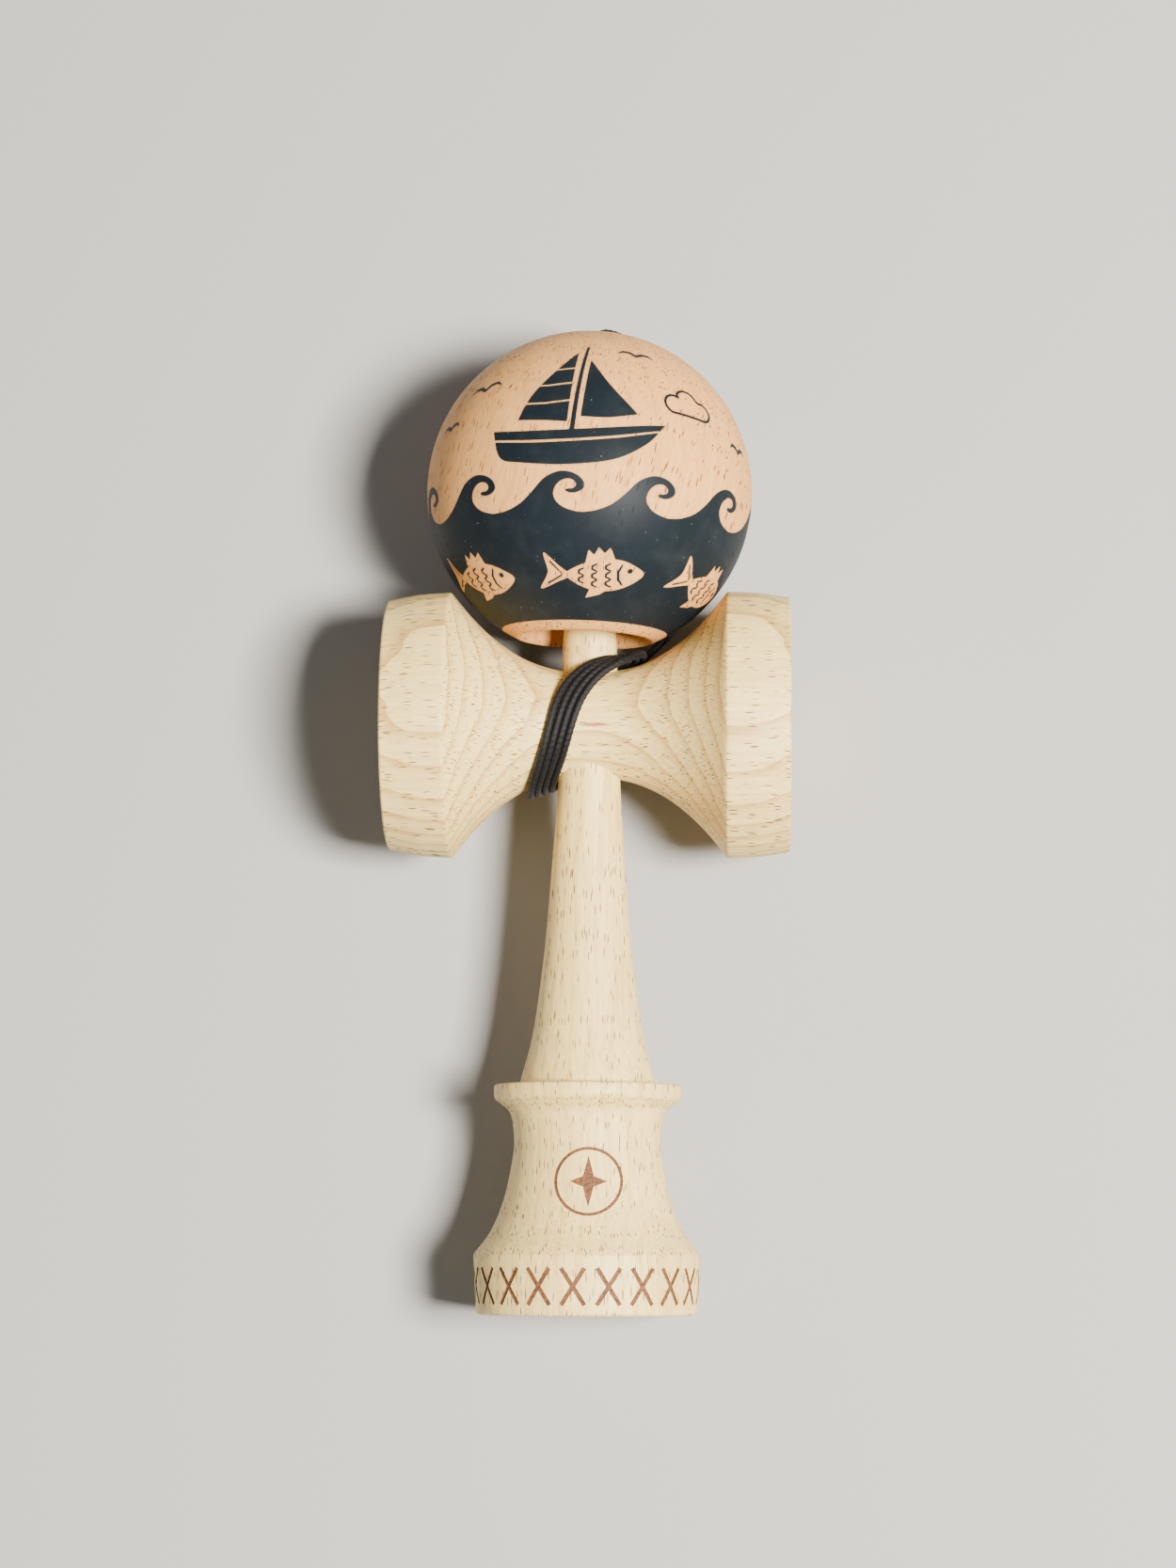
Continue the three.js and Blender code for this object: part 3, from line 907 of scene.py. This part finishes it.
@dataclass(frozen=True)
class BallArt:
    """The ball's painted pattern: a dark band edged with waves, fish, a boat, birds and a cloud."""

    radius: float = 30.0
    ring_r: float = 15.2
    wave_base: float = -8.6
    wave_height: float = 7.2
    wave_count: int = 11
    fish_latitude: float = -39.5
    fish_count: int = 6
    fish_first: float = 8.0
    fish_size: float = 0.95

    def wave_line(self) -> Profile:
        """The waves' edge, in millimetres round and up from the ball's equator, over two laps."""
        curl = [(0.0, 0.0), (0.15, 0.05), (0.32, 0.22), (0.46, 0.50), (0.58, 0.80), (0.70, 0.96),
                (0.81, 1.0), (0.93, 0.93), (1.01, 0.77), (1.02, 0.60), (0.96, 0.49), (0.88, 0.46),
                (0.82, 0.52), (0.845, 0.565), (0.90, 0.575), (0.935, 0.65), (0.915, 0.76),
                (0.85, 0.81), (0.775, 0.76), (0.715, 0.61), (0.695, 0.42), (0.73, 0.24),
                (0.81, 0.10), (0.92, 0.02)]
        width = math.tau * self.radius / self.wave_count
        line: Profile = []
        for k in range(-self.wave_count, self.wave_count):
            line += [((k + x) * width, self.wave_base + y * self.wave_height) for x, y in curl]
        return smooth(line, 3)

    def boat(self) -> Shape:
        """A plain sailing dinghy: hull with one bare plank line, mast, mainsail and jib."""
        sheer = smooth([(-14.6, 3.6), (-8, 3.4), (0, 3.9), (8, 5.2), (17.6, 7.6)], 6)
        keel = smooth([(17.6, 7.6), (14.4, 3.0), (8.6, -0.9), (0, -2.6), (-8.4, -2.5),
                       (-12.6, -1.5), (-14.6, 3.6)], 6)
        plank = smooth([(-14.6, 1.7, 0.2), (-7, 1.4, 0.22), (1, 2.0, 0.22), (9, 3.5, 0.22),
                        (16.4, 5.9, 0.16)], 6)
        main = smooth([(-0.4, 5.4), (-0.6, 13), (-0.9, 22.4)], 6)
        leech = smooth([(-0.9, 22.4), (-4.4, 16.6), (-7.9, 10.8), (-9.8, 5.6)], 6)
        jib = smooth([(1.9, 20.2), (6.4, 14.2), (12.2, 8.6)], 6)
        foot = smooth([(12.2, 8.6), (7, 7.0), (1.9, 6.6)], 6)
        seams = [[(-0.4, y, 0.17), (-5, y - 0.8, 0.17), (-11, y - 0.9, 0.17)]
                 for y in (9.8, 13.8, 17.6)]
        return Shape(
            loops=[(sheer + keel, False), (main + leech, False), (jib + foot, False)],
            strokes=[([(0.65, 3.9, 0.45), (0.65, 24.4, 0.3)], False),
                     *[(line, True) for line in [plank, *seams]]],
            reach=29.0,
            gap=0.75,
        )

    def fish(self) -> Shape:
        """A plain fish left bare in the paint, with a painted eye, gill, scales and fin rays."""
        body = smooth([(-6.2, 0.3), (-3.2, 2.6), (0.6, 3.7), (4.6, 3.1), (7.6, 1.2), (8.7, -0.3),
                       (7.4, -1.6), (4.2, -3.0), (0.4, -3.3), (-3.4, -2.1)], 5, closed=True)
        tail = smooth([(-5.4, 0.1), (-7.6, 2.0), (-10.6, 4.3), (-9.7, 0.9), (-9.9, -0.8),
                       (-10.9, -3.8), (-7.8, -1.7)], 5, closed=True)
        fin = [(-2.6, 2.6), (-2.0, 5.6), (-0.9, 4.5), (0.0, 6.1), (1.1, 4.8), (2.2, 6.0),
               (3.2, 3.2)]
        keel = [(-1.6, -2.6), (-2.4, -4.9), (0.2, -4.1), (1.8, -3.0)]
        scales = []
        for row, x in enumerate((2.2, -0.4, -2.9)):
            for k in range(-1, 2) if row < 2 else (-0.5, 0.5):
                y = 0.15 + 1.75 * k
                scales.append([(x, y + 0.75, 0.16), (x - 0.85, y + 0.3, 0.19),
                               (x - 0.85, y - 0.3, 0.19), (x, y - 0.75, 0.16)])
        gill = [(4.5, 2.2, 0.16), (3.7, 0.8, 0.24), (3.7, -0.8, 0.24), (4.4, -2.1, 0.16)]
        rays = [[(-6.9, 0.3, 0.14), (-9.3, 2.6, 0.18)], [(-7.0, -0.1, 0.14), (-9.5, -2.2, 0.18)]]
        eye = arc((6.0, 0.75), 0.55, 0, 330, 11)
        loops = [(body, True), (tail, True), (fin, True), (keel, True), (eye, False)]
        grow = self.fish_size
        return Shape(
            loops=[([(x * grow, y * grow) for x, y in loop], cut) for loop, cut in loops],
            strokes=[([(x * grow, y * grow, w) for x, y, w in line], False)
                     for line in [*scales, gill, *rays]],
            reach=12.5 * grow,
        )

    def bird(self, span: float) -> Shape:
        """A far gull: two arched wings."""
        wing = [(0.0, 0.0, 0.34), (0.16, 0.13, 0.40), (0.34, 0.16, 0.34), (0.5, 0.05, 0.12)]
        sides = [[(k * x * span, y * span, w) for x, y, w in wing] for k in (1, -1)]
        return Shape(strokes=[(side, False) for side in sides], reach=span)

    def cloud(self) -> Shape:
        """A small cloud drawn with one line."""
        lobes = [*arc((-3.2, 0.2), 2.0, 250, 60, 8), *arc((-0.3, 1.5), 2.4, 150, 25, 8),
                 *arc((3.0, 0.3), 1.9, 110, -80, 8), (0.0, -1.65), (-3.9, -1.7)]
        line = [(x, y, 0.26) for x, y in lobes]
        return Shape(strokes=[(line, False)], reach=8.0)

    def placed(self) -> list[tuple[float, float, float, Shape]]:
        """Each motif's longitude, latitude and turn, in degrees, with its shape."""
        around = 360 / self.fish_count
        fishes = [(self.fish_first + around * k, self.fish_latitude,
                   -6.0 if k % 2 else 4.0, self.fish()) for k in range(self.fish_count)]
        skies = [(-6.0, 4.5, -3.0, self.boat()), (42.0, 24.0, -8.0, self.cloud()),
                 (24.0, 47.0, -10.0, self.bird(6.5)), (-46.0, 30.0, 12.0, self.bird(7.5)),
                 (-60.0, 16.0, 8.0, self.bird(5.5)), (68.0, 12.0, -8.0, self.bird(6.0)),
                 (-30.0, 73.0, 20.0, self.bird(7.0)), (35.0, 75.0, -20.0, self.bird(6.0)),
                 (184.0, 3.0, 0.0, self.boat()), (128.0, 28.0, 0.0, self.cloud()),
                 (-130.0, 36.0, -8.0, self.bird(7.0)), (150.0, 52.0, 6.0, self.bird(6.0)),
                 (-105.0, 22.0, 10.0, self.bird(5.0)), (100.0, 12.0, -6.0, self.bird(6.0))]
        return fishes + skies

    def depth(self, at: np.ndarray) -> np.ndarray:
        """How far inside the paint each point of the ball's surface is, in millimetres.

        Args:
            at: points about the ball's centre, one row each, with Y towards the far pole.

        Returns:
            Signed distances, negative on bare wood.
        """
        up = np.clip(at[:, 1] / self.radius, -1, 1)
        latitude = np.arcsin(up)
        longitude = np.arctan2(at[:, 0], at[:, 2])
        flat = np.stack([longitude * self.radius, latitude * self.radius], axis=1)
        line = self.wave_line()
        floor = -2.0 * self.radius
        outline = [*line, (line[-1][0], floor), (line[0][0], floor)]
        near = np.abs(flat[:, 1] - self.wave_base - 4.0) < 9.0
        paint = np.where(flat[:, 1] < self.wave_base, 3.0, -3.0)
        paint[near] = loop_depth(flat[near], outline)
        edge = -self.radius * math.acos(self.ring_r / self.radius)
        paint = np.minimum(paint, flat[:, 1] - edge)
        for lon, lat, turn, shape in self.placed():
            paint = self.add(paint, at, shape, *map(math.radians, (lon, lat, turn)))
        return paint

    def add(self, paint: np.ndarray, at: np.ndarray, shape: Shape,
            lon: float, lat: float, turn: float) -> np.ndarray:
        """Adds one motif to the paint's depths.

        Args:
            paint: the depths so far.
            at: the surface points.
            shape: the motif.
            lon: its middle's longitude, in radians.
            lat: its middle's latitude, in radians.
            turn: how far it is turned, in radians.

        Returns:
            The new depths.
        """
        out = np.array([math.sin(lon) * math.cos(lat), math.sin(lat),
                        math.cos(lon) * math.cos(lat)])
        east = np.array([math.cos(lon), 0.0, -math.sin(lon)])
        north = np.cross(out, east)
        away = np.arccos(np.clip(at @ out / self.radius, -1, 1)) * self.radius
        pick = np.where(away < shape.reach + 2.0)[0]
        x, y = at[pick] @ east, at[pick] @ north
        stretch = away[pick] / np.maximum(np.hypot(x, y), 1e-9)
        x, y = x * stretch, y * stretch
        flat = np.stack([x * math.cos(turn) + y * math.sin(turn),
                         y * math.cos(turn) - x * math.sin(turn)], axis=1)
        local = paint[pick]
        clear = np.where(shape.gap > 0, -local - shape.gap, 9.0)
        layers = [(loop_depth(flat, loop), cut) for loop, cut in shape.loops]
        layers += [(stroke_depth(flat, line), cut) for line, cut in shape.strokes]
        for depth, cut in layers:
            added = np.maximum(local, np.minimum(depth, clear))
            local = np.where(local > clear, local, np.minimum(local, -depth)) if cut else added
        paint = paint.copy()
        paint[pick] = local
        return paint


@dataclass
class Tama:
    """The ball: bored from the spike's side, with a string hole at its far pole."""

    facets: int = 192
    rows: int = 92
    radius: float = 30.0
    mouth_r: float = 12.5
    chamfer: float = 0.8
    bore_r: float = 11.5
    bore_depth: float = 41.0
    cone_depth: float = 47.0
    chamber_r: float = 4.4
    chamber_depth: float = 52.0
    string_hole_r: float = 1.5
    sink_r: float = 3.0
    sink_depth: float = 1.6
    refinements: int = 2
    finest: float = 0.22

    def profile(self) -> Profile:
        """The closed outline: outside from mouth to pole, then back down the stepped hole."""
        mouth = -math.sqrt(self.radius**2 - self.mouth_r**2)
        start = math.degrees(math.atan2(mouth, self.mouth_r))
        end = math.degrees(math.acos(self.sink_r / self.radius))
        pole = math.sqrt(self.radius**2 - self.sink_r**2)
        outside = arc((0, 0), self.radius, start, end, self.rows)
        lip = [(self.mouth_r - 0.13, mouth + 0.03)]
        sink = smooth([(self.sink_r - 0.1, pole - 0.02), (self.string_hole_r + 0.45, pole - 0.55),
                       (self.string_hole_r, pole - self.sink_depth)], 4)
        hole = [(self.string_hole_r, mouth + self.chamber_depth + 1.0 - 0.2 * k) for k in (0, 5)]
        bore = [(self.chamber_r, mouth + self.chamber_depth),
                (self.chamber_r, mouth + self.cone_depth),
                (self.bore_r, mouth + self.bore_depth),
                (self.bore_r, mouth + 0.5 * self.bore_depth),
                (self.bore_r + 0.15, mouth + self.chamfer + 0.2),
                (self.bore_r + 0.25, mouth + self.chamfer)]
        return [*outside, *sink, *hole, *bore, *lip]

    def refine(self, bm: bmesh.types.BMesh, art: BallArt) -> np.ndarray:
        """Splits the faces along the pattern's edges and puts each new point on the ball.

        Args:
            bm: the ball's mesh.
            art: the pattern.

        Returns:
            The paint depth at every vertex.
        """
        for level in range(self.refinements + 1):
            bm.verts.ensure_lookup_table()
            bm.verts.index_update()
            at = np.array([v.co[:] for v in bm.verts])
            skin = np.linalg.norm(at, axis=1) > self.radius - 0.05
            depth = np.full(len(at), -5.0)
            depth[skin] = art.depth(at[skin])
            if level == self.refinements:
                break
            size = math.pi * self.radius / self.rows / 2**level
            close = skin & (np.abs(depth) < 1.15 * size)
            edges = [e for e in bm.edges
                     if (close[e.verts[0].index] or close[e.verts[1].index])
                     and skin[e.verts[0].index] and skin[e.verts[1].index]
                     and e.calc_length() > self.finest]
            made = bmesh.ops.subdivide_edges(bm, edges=edges, cuts=1, use_grid_fill=True)
            for vert in (g for g in made["geom_inner"] if isinstance(g, bmesh.types.BMVert)):
                vert.co = vert.co.normalized() * self.radius
        return depth

    def build(self) -> bpy.types.Object:
        """Makes the ball with its pattern."""
        centre = tuple(LIE.ball.translation)
        wood = Beech("beech_ball", Grain.BALL, centre, pale=(0.75, 0.385, 0.125),
                     deep=(0.52, 0.228, 0.066), fleck=(0.16, 0.052, 0.018), pith=(36.0, 12.0),
                     ring_gap=4.2, ring_dark=0.3, flecks=0.95)
        bm = turned(self.profile(), self.facets, closed=True)
        depth = self.refine(bm, BallArt())
        layer = bm.verts.layers.float.new("paint")
        for vert, value in zip(bm.verts, depth):
            vert[layer] = float(value)
        tama = as_object(bm, "tama_turned", [BallPaint(wood).dress()])
        settle(tama, LIE.ball, "tama", sharp=40.0)
        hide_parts("tama")
        return tama


@dataclass
class Bead:
    """The small wooden bead on the string inside the ball."""

    radius: float = 3.75
    bore_r: float = 1.05
    ahead: float = 20.5

    def build(self) -> bpy.types.Object:
        """Makes the bead."""
        edge = math.degrees(math.acos((self.bore_r + 0.35) / self.radius))
        wall = arc((0, 0), self.radius, -edge, edge, 28)
        end = wall[-1][1]
        profile = [(self.bore_r, -end + 0.25), *wall, (self.bore_r, end - 0.25)]
        where = LIE.ball @ Matrix.Translation((0, self.ahead * MM, 0))
        wood = Beech("beech_bead", Grain.LENGTHWAYS, tuple(where.translation), ring_gap=1.4,
                     pale=(0.66, 0.43, 0.23), deep=(0.46, 0.27, 0.13), pith=(6.0, 3.0))
        bead = as_object(turned(profile, 56, closed=True), "bead_turned", [wood.dress()])
        settle(bead, where, "bead")
        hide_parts("bead")
        return bead


# ---- String ---------------------------------------------------------------------------------
@dataclass
class StringLine:
    """The string: from its knot in the handle, round the cross, under the ball to the bead."""

    cross: Sarado
    ken: Ken
    diameter: float = 1.3
    turns: int = 4
    sides: int = 20
    step: float = 0.3
    relief: float = 0.13
    wander: float = 0.13
    front: tuple[tuple[float, float, float], ...] = (
        (8.4, 12.6, 0), (7.5, 12.3, 3.9), (4.6, 11.2, 6.6), (0.9, 9.3, 8.3), (-2.4, 5.4, 10),
        (-4.0, 1.7, 11), (-4.9, -1.8, 11), (-6.2, -6.3, 9.9), (-8.0, -10.6, 6.4), (-8.9, -12.6, 2),
    )
    leader: tuple[tuple[float, float, float], ...] = (
        (12.9, -26, -11.6), (16.4, -22, -14.8), (20, -15.6, -18),
        (22.3, -8.1, -20.1), (23.1, 0, -20.8), (22.3, 8.1, -20.1),
        (20, 15.6, -18), (16.4, 22, -14.8), (11.6, 27, -10.4), (7.1, 29.6, -6.4),
        (4, 30.7, -3.6), (1.9, 30.8, -1.7), (0.9, 30.4, -0.8), (0.2, 29.5, -0.2),
        (0, 28.2, 0), (0, 24.3, 0), (0, 17.1, 0),
    )
    leader_free: int = 1
    knot_height: float = 3.3
    lane_start: float = 0.80
    head_skipped: int = 6
    tail_skipped: int = 34
    neighbours: int = 6
    soften: int = 10

    def lane(self) -> tuple[np.ndarray, np.ndarray]:
        """One closed turn's middle line from the gap beside the spike, and its sideways line."""
        back = [(x, s, -z) for x, s, z in reversed(self.front[1:])]
        loop = np.array(smooth([*self.front, *back], 16, closed=True))
        tangent = np.roll(loop, -1, axis=0) - np.roll(loop, 1, axis=0)
        out = loop * np.array([0.0, 1.0, 1.0])
        out /= np.linalg.norm(out, axis=1)[:, None]
        out[:, 0] = -0.036 * loop[:, 0]
        side = np.cross(tangent, out)
        side /= np.linalg.norm(side, axis=1)[:, None]
        return loop, side

    def winding(self) -> list[np.ndarray]:
        """The wound stretch's points, about the cross's middle: each pass beside the last."""
        loop, side = self.lane()
        count = len(loop)
        start = int(count * self.lane_start)
        total = count - start + self.turns * count
        points = []
        for i in range(total - self.tail_skipped):
            at = (start + i) % count
            laps = (start + i - count) / count
            whole = math.floor(laps)
            over = min(max((laps - whole - 0.5) / 0.5, 0.0), 1.0)
            lane = max(whole + over * over * (3 - 2 * over), -1.0) - (self.turns - 1) / 2
            lane += self.wander * math.sin(math.tau * laps * 3 + 2.1 * whole)
            points.append(loop[at] - side[at] * lane * self.diameter)
        return points

    def clear(self, p: np.ndarray, radius: float) -> None:
        """Pushes points out of the cross piece's and the handle's wood, in place.

        Args:
            p: points about the cross's middle, one row each.
            radius: the string's own radius.
        """
        rim = np.hypot(p[:, 1], p[:, 2])
        reach = np.clip(np.abs(p[:, 0]) / self.cross.shoulder, 1e-6, 1)
        swell = self.cross.shoulder_r - self.cross.waist_r
        flank = self.cross.waist_r + swell * reach**self.cross.flank_power
        slope = swell * self.cross.flank_power / self.cross.shoulder
        slope = slope * reach ** (self.cross.flank_power - 1) * np.sign(p[:, 0])
        lean = np.sqrt(1 + slope**2)
        short = np.maximum(radius - (rim - flank) / lean, 0) / lean
        p[:, 0] -= short * slope
        p[:, 1] += short * p[:, 1] / rim
        p[:, 2] += short * p[:, 2] / rim
        (top_r, top), (low_r, low) = self.ken.shaft_top, self.ken.shaft_low
        shaft = low_r + (top_r - low_r) * (p[:, 1] - low) / (top - low)
        off = np.hypot(p[:, 0], p[:, 2])
        short = np.maximum(radius + shaft - off, 0)
        p[:, 0] += short * p[:, 0] / off
        p[:, 2] += short * p[:, 2] / off

    def tighten(self, p: np.ndarray, rounds: int = 70) -> np.ndarray:
        """Lets the winding draw tight: it straightens, lies on the wood and beside itself.

        Args:
            p: the stretch's points; its first and last stay where they are.
            rounds: how many times the three steps are taken.

        Returns:
            The settled points.
        """
        radius = self.diameter / 2
        count = len(p)
        apart = np.abs(np.arange(count)[:, None] - np.arange(count)[None, :]) > self.neighbours
        for _ in range(rounds):
            middle = (p[:-2] + p[2:]) / 2
            p[1:-1] += 0.35 * (middle - p[1:-1])
            gap = p[:, None, :] - p[None, :, :]
            far = np.linalg.norm(gap, axis=2) + 1e-9
            push = np.where(apart & (far < self.diameter), (self.diameter - far) / far, 0.0)
            p[1:-1] += 0.25 * (gap * push[..., None]).sum(axis=1)[1:-1]
            inner = p[1:-1].copy()
            self.clear(inner, radius + 0.03)
            p[1:-1] = inner
        return p

    def route(self) -> list[Vector]:
        """The whole string's middle line in the frame, in metres, in even steps."""
        start = [(0, 0, self.knot_height - 1.2), (0, 0, -4.0), (0, 0, -9.2)]
        leave = [(-0.1, 0.2, -10.0), (-0.45, 0.8, -10.5), (-1.1, 1.9, -10.6)]
        wound = self.winding()[self.head_skipped:]
        wound = [np.array(p) for p in leave] + wound
        spaced = self.tighten(resample(np.array(wound), 0.55))
        handle = [LIE.handle @ (Vector(p) * MM) for p in [*start, *spaced]]
        free, leaning = LIE.ball_centre, LIE.ball
        leader = [(free if i < self.leader_free else leaning) @ (Vector(p) * MM)
                  for i, p in enumerate(self.leader)]
        run = smooth([tuple(p) for p in [*handle[-13::6], *leader]], 12)[24:]
        line = resample(np.array([*(tuple(p) for p in handle[:-1]), *run]), self.step * MM)
        for _ in range(self.soften):
            line[1:-1] = (line[:-2] + 2 * line[1:-1] + line[2:]) / 4
        return [Vector(p) for p in line]

    def mesh(self, route: list[Vector]) -> bmesh.types.BMesh:
        """A braided tube along the route, with u round it and v along it in millimetres."""
        braid = BraidedCord()
        bm = bmesh.new()
        uv = bm.loops.layers.uv.new("UVMap")
        radius = self.diameter / 2 * MM
        normal = Vector((1, 0, 0))
        rings, lengths = [], []
        length = 0.0
        for i, at in enumerate(route):
            ahead = route[min(i + 1, len(route) - 1)] - route[max(i - 1, 0)]
            ahead.normalize()
            normal = (normal - ahead * normal.dot(ahead)).normalized()
            other = ahead.cross(normal)
            length += (at - route[i - 1]).length / MM if i else 0.0
            ring = []
            for k in range(self.sides):
                angle = math.tau * k / self.sides
                turn = angle * braid.bundles / 2
                wave = math.cos(turn + math.tau * length / braid.pitch)
                wave *= math.cos(turn - math.tau * length / braid.pitch)
                r = radius * (1 + self.relief * wave)
                out = normal * math.cos(angle) + other * math.sin(angle)
                ring.append(bm.verts.new(at + out * r))
            rings.append(ring)
            lengths.append(length)
        tube(bm, uv, rings, lengths)
        bm.faces.new(list(reversed(rings[0])))
        bm.faces.new(rings[-1])
        return bm

    def build(self, cord: bpy.types.Material) -> bpy.types.Object:
        """Makes the string, which runs from the handle to the ball's end."""
        route = self.route()
        obj = as_object(self.mesh(route), "string_wound", [cord])
        for polygon in obj.data.polygons:
            polygon.use_smooth = True
        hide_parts("string_wraps", "string_core", "string_leader")
        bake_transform(obj)
        return obj


def resample(points: np.ndarray, step: float) -> np.ndarray:
    """The same line with its points an even step apart."""
    lengths = np.linalg.norm(np.diff(points, axis=0), axis=1)
    along = np.concatenate([[0], np.cumsum(lengths)])
    at = np.linspace(0, along[-1], max(int(round(along[-1] / step)), 2) + 1)
    return np.stack([np.interp(at, along, points[:, k]) for k in range(3)], axis=1)


@dataclass
class Knot:
    """An overhand knot in the string, drawn tight."""

    name: str
    node: str
    body: str
    where: Matrix
    size: float = 0.98
    diameter: float = 1.25
    steps: int = 96
    sides: int = 14

    def build(self, cord: bpy.types.Material) -> bpy.types.Object:
        """Makes the knot as a closed braided tube."""
        bm = bmesh.new()
        uv = bm.loops.layers.uv.new("UVMap")
        line = []
        for i in range(self.steps):
            t = math.tau * i / self.steps
            line.append(Vector(((math.sin(t) + 2 * math.sin(2 * t)) * 0.30,
                                -math.sin(3 * t) * 0.42,
                                (math.cos(t) - 2 * math.cos(2 * t)) * 0.30)) * self.size)
        rings = []
        for i, at in enumerate(line):
            ahead = (line[(i + 1) % self.steps] - line[i - 1]).normalized()
            normal = ahead.cross(Vector((0, 1, 0))).normalized()
            other = ahead.cross(normal)
            outs = [normal * math.cos(a) + other * math.sin(a)
                    for a in (math.tau * k / self.sides for k in range(self.sides))]
            rings.append([bm.verts.new(at + out * self.diameter / 2) for out in outs])
        tube(bm, uv, rings, [i * 0.1 for i in range(self.steps + 1)], closed=True)
        bmesh.ops.recalc_face_normals(bm, faces=bm.faces)
        knot = as_object(bm, self.name, [cord])
        settle(knot, self.where, self.body, sharp=80.0)
        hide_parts(self.node)
        return knot


# ---- Studio ---------------------------------------------------------------------------------
@dataclass(frozen=True)
class Lamp:
    """One square soft light."""

    name: str
    at: tuple[float, float, float]
    size: float
    power: float
    colour: Colour


@dataclass
class Studio:
    """The floor, the soft lights and the camera above the handle's waist."""

    lens: float = 85.95
    eye: tuple[float, float, float] = (0.0280, -0.1053, 0.7041)
    aim: tuple[float, float, float] = (-0.0002, 0.0071, 0.0245)
    roll: float = 0.36
    floor_size: float = 6.0
    lamps: tuple[Lamp, ...] = (
        Lamp("key", (0.50, -0.14, 1.02), 0.26, 58.0, (1.0, 0.955, 0.88)),
        Lamp("fill", (-0.75, -0.40, 0.80), 0.9, 2.0, (0.93, 0.96, 1.0)),
    )
    glow: Colour = (0.95, 0.97, 1.0)
    glow_strength: float = 0.17

    def camera(self) -> bpy.types.Object:
        """Makes the camera."""
        data = bpy.data.cameras.new("camera")
        data.lens = self.lens
        data.sensor_width = 36.0
        data.clip_start = 0.01
        camera = bpy.data.objects.new("camera", data)
        bpy.context.scene.collection.objects.link(camera)
        back = (Vector(self.eye) - Vector(self.aim)).normalized()
        right = Vector((0, 1, 0)).cross(back).normalized()
        turn = Matrix((right, back.cross(right), back)).transposed().to_4x4()
        roll = Matrix.Rotation(math.radians(self.roll), 4, "Z")
        camera.matrix_world = Matrix.Translation(self.eye) @ turn @ roll
        bpy.context.scene.camera = camera
        return camera

    def light(self, lamp: Lamp) -> None:
        """Makes one square soft light that faces the toy."""
        data = bpy.data.lights.new(lamp.name, "AREA")
        data.size = lamp.size
        data.energy = lamp.power
        data.color = lamp.colour
        obj = bpy.data.objects.new(lamp.name, data)
        bpy.context.scene.collection.objects.link(obj)
        look = Vector((0, 0, 0.02)) - Vector(lamp.at)
        turn = look.to_track_quat("-Z", "Y").to_matrix().to_4x4()
        obj.matrix_world = Matrix.Translation(lamp.at) @ turn

    def build(self) -> None:
        """Makes the floor, the lights and the world's glow."""
        bm = bmesh.new()
        bmesh.ops.create_grid(bm, x_segments=1, y_segments=1, size=self.floor_size / 2)
        floor = as_object(bm, "floor", [PaleFloor().dress()])
        for lamp in self.lamps:
            self.light(lamp)
        world = bpy.data.worlds.new("studio")
        bpy.context.scene.world = world
        world.use_nodes = True
        background = world.node_tree.nodes["Background"]
        background.inputs[0].default_value = (*self.glow, 1.0)
        background.inputs[1].default_value = self.glow_strength


def main() -> None:
    """Builds the toy piece by piece."""
    studio = Studio()
    studio.camera()
    ken, cross = Ken(), Sarado()
    cord = BraidedCord().dress()
    string = StringLine(cross, ken)
    string.build(cord)
    studio.build()
    bead = Bead()
    ken.build(string_hole_r=1.0, pocket_r=2.1)
    cross.build(ken)
    Tama().build()
    bead.build()
    inside = LIE.handle @ Matrix.Translation((0, 0, string.knot_height * MM))
    Knot("knot_in_handle", "ken_knot", "ken", inside).build(cord)
    below = bead.ahead - bead.radius - 1.5
    at_bead = LIE.ball @ Matrix.Translation((0, below * MM, 0))
    Knot("knot_at_bead", "bead_knot", "string_end", at_bead).build(cord)


if __name__ == "__main__":
    main()
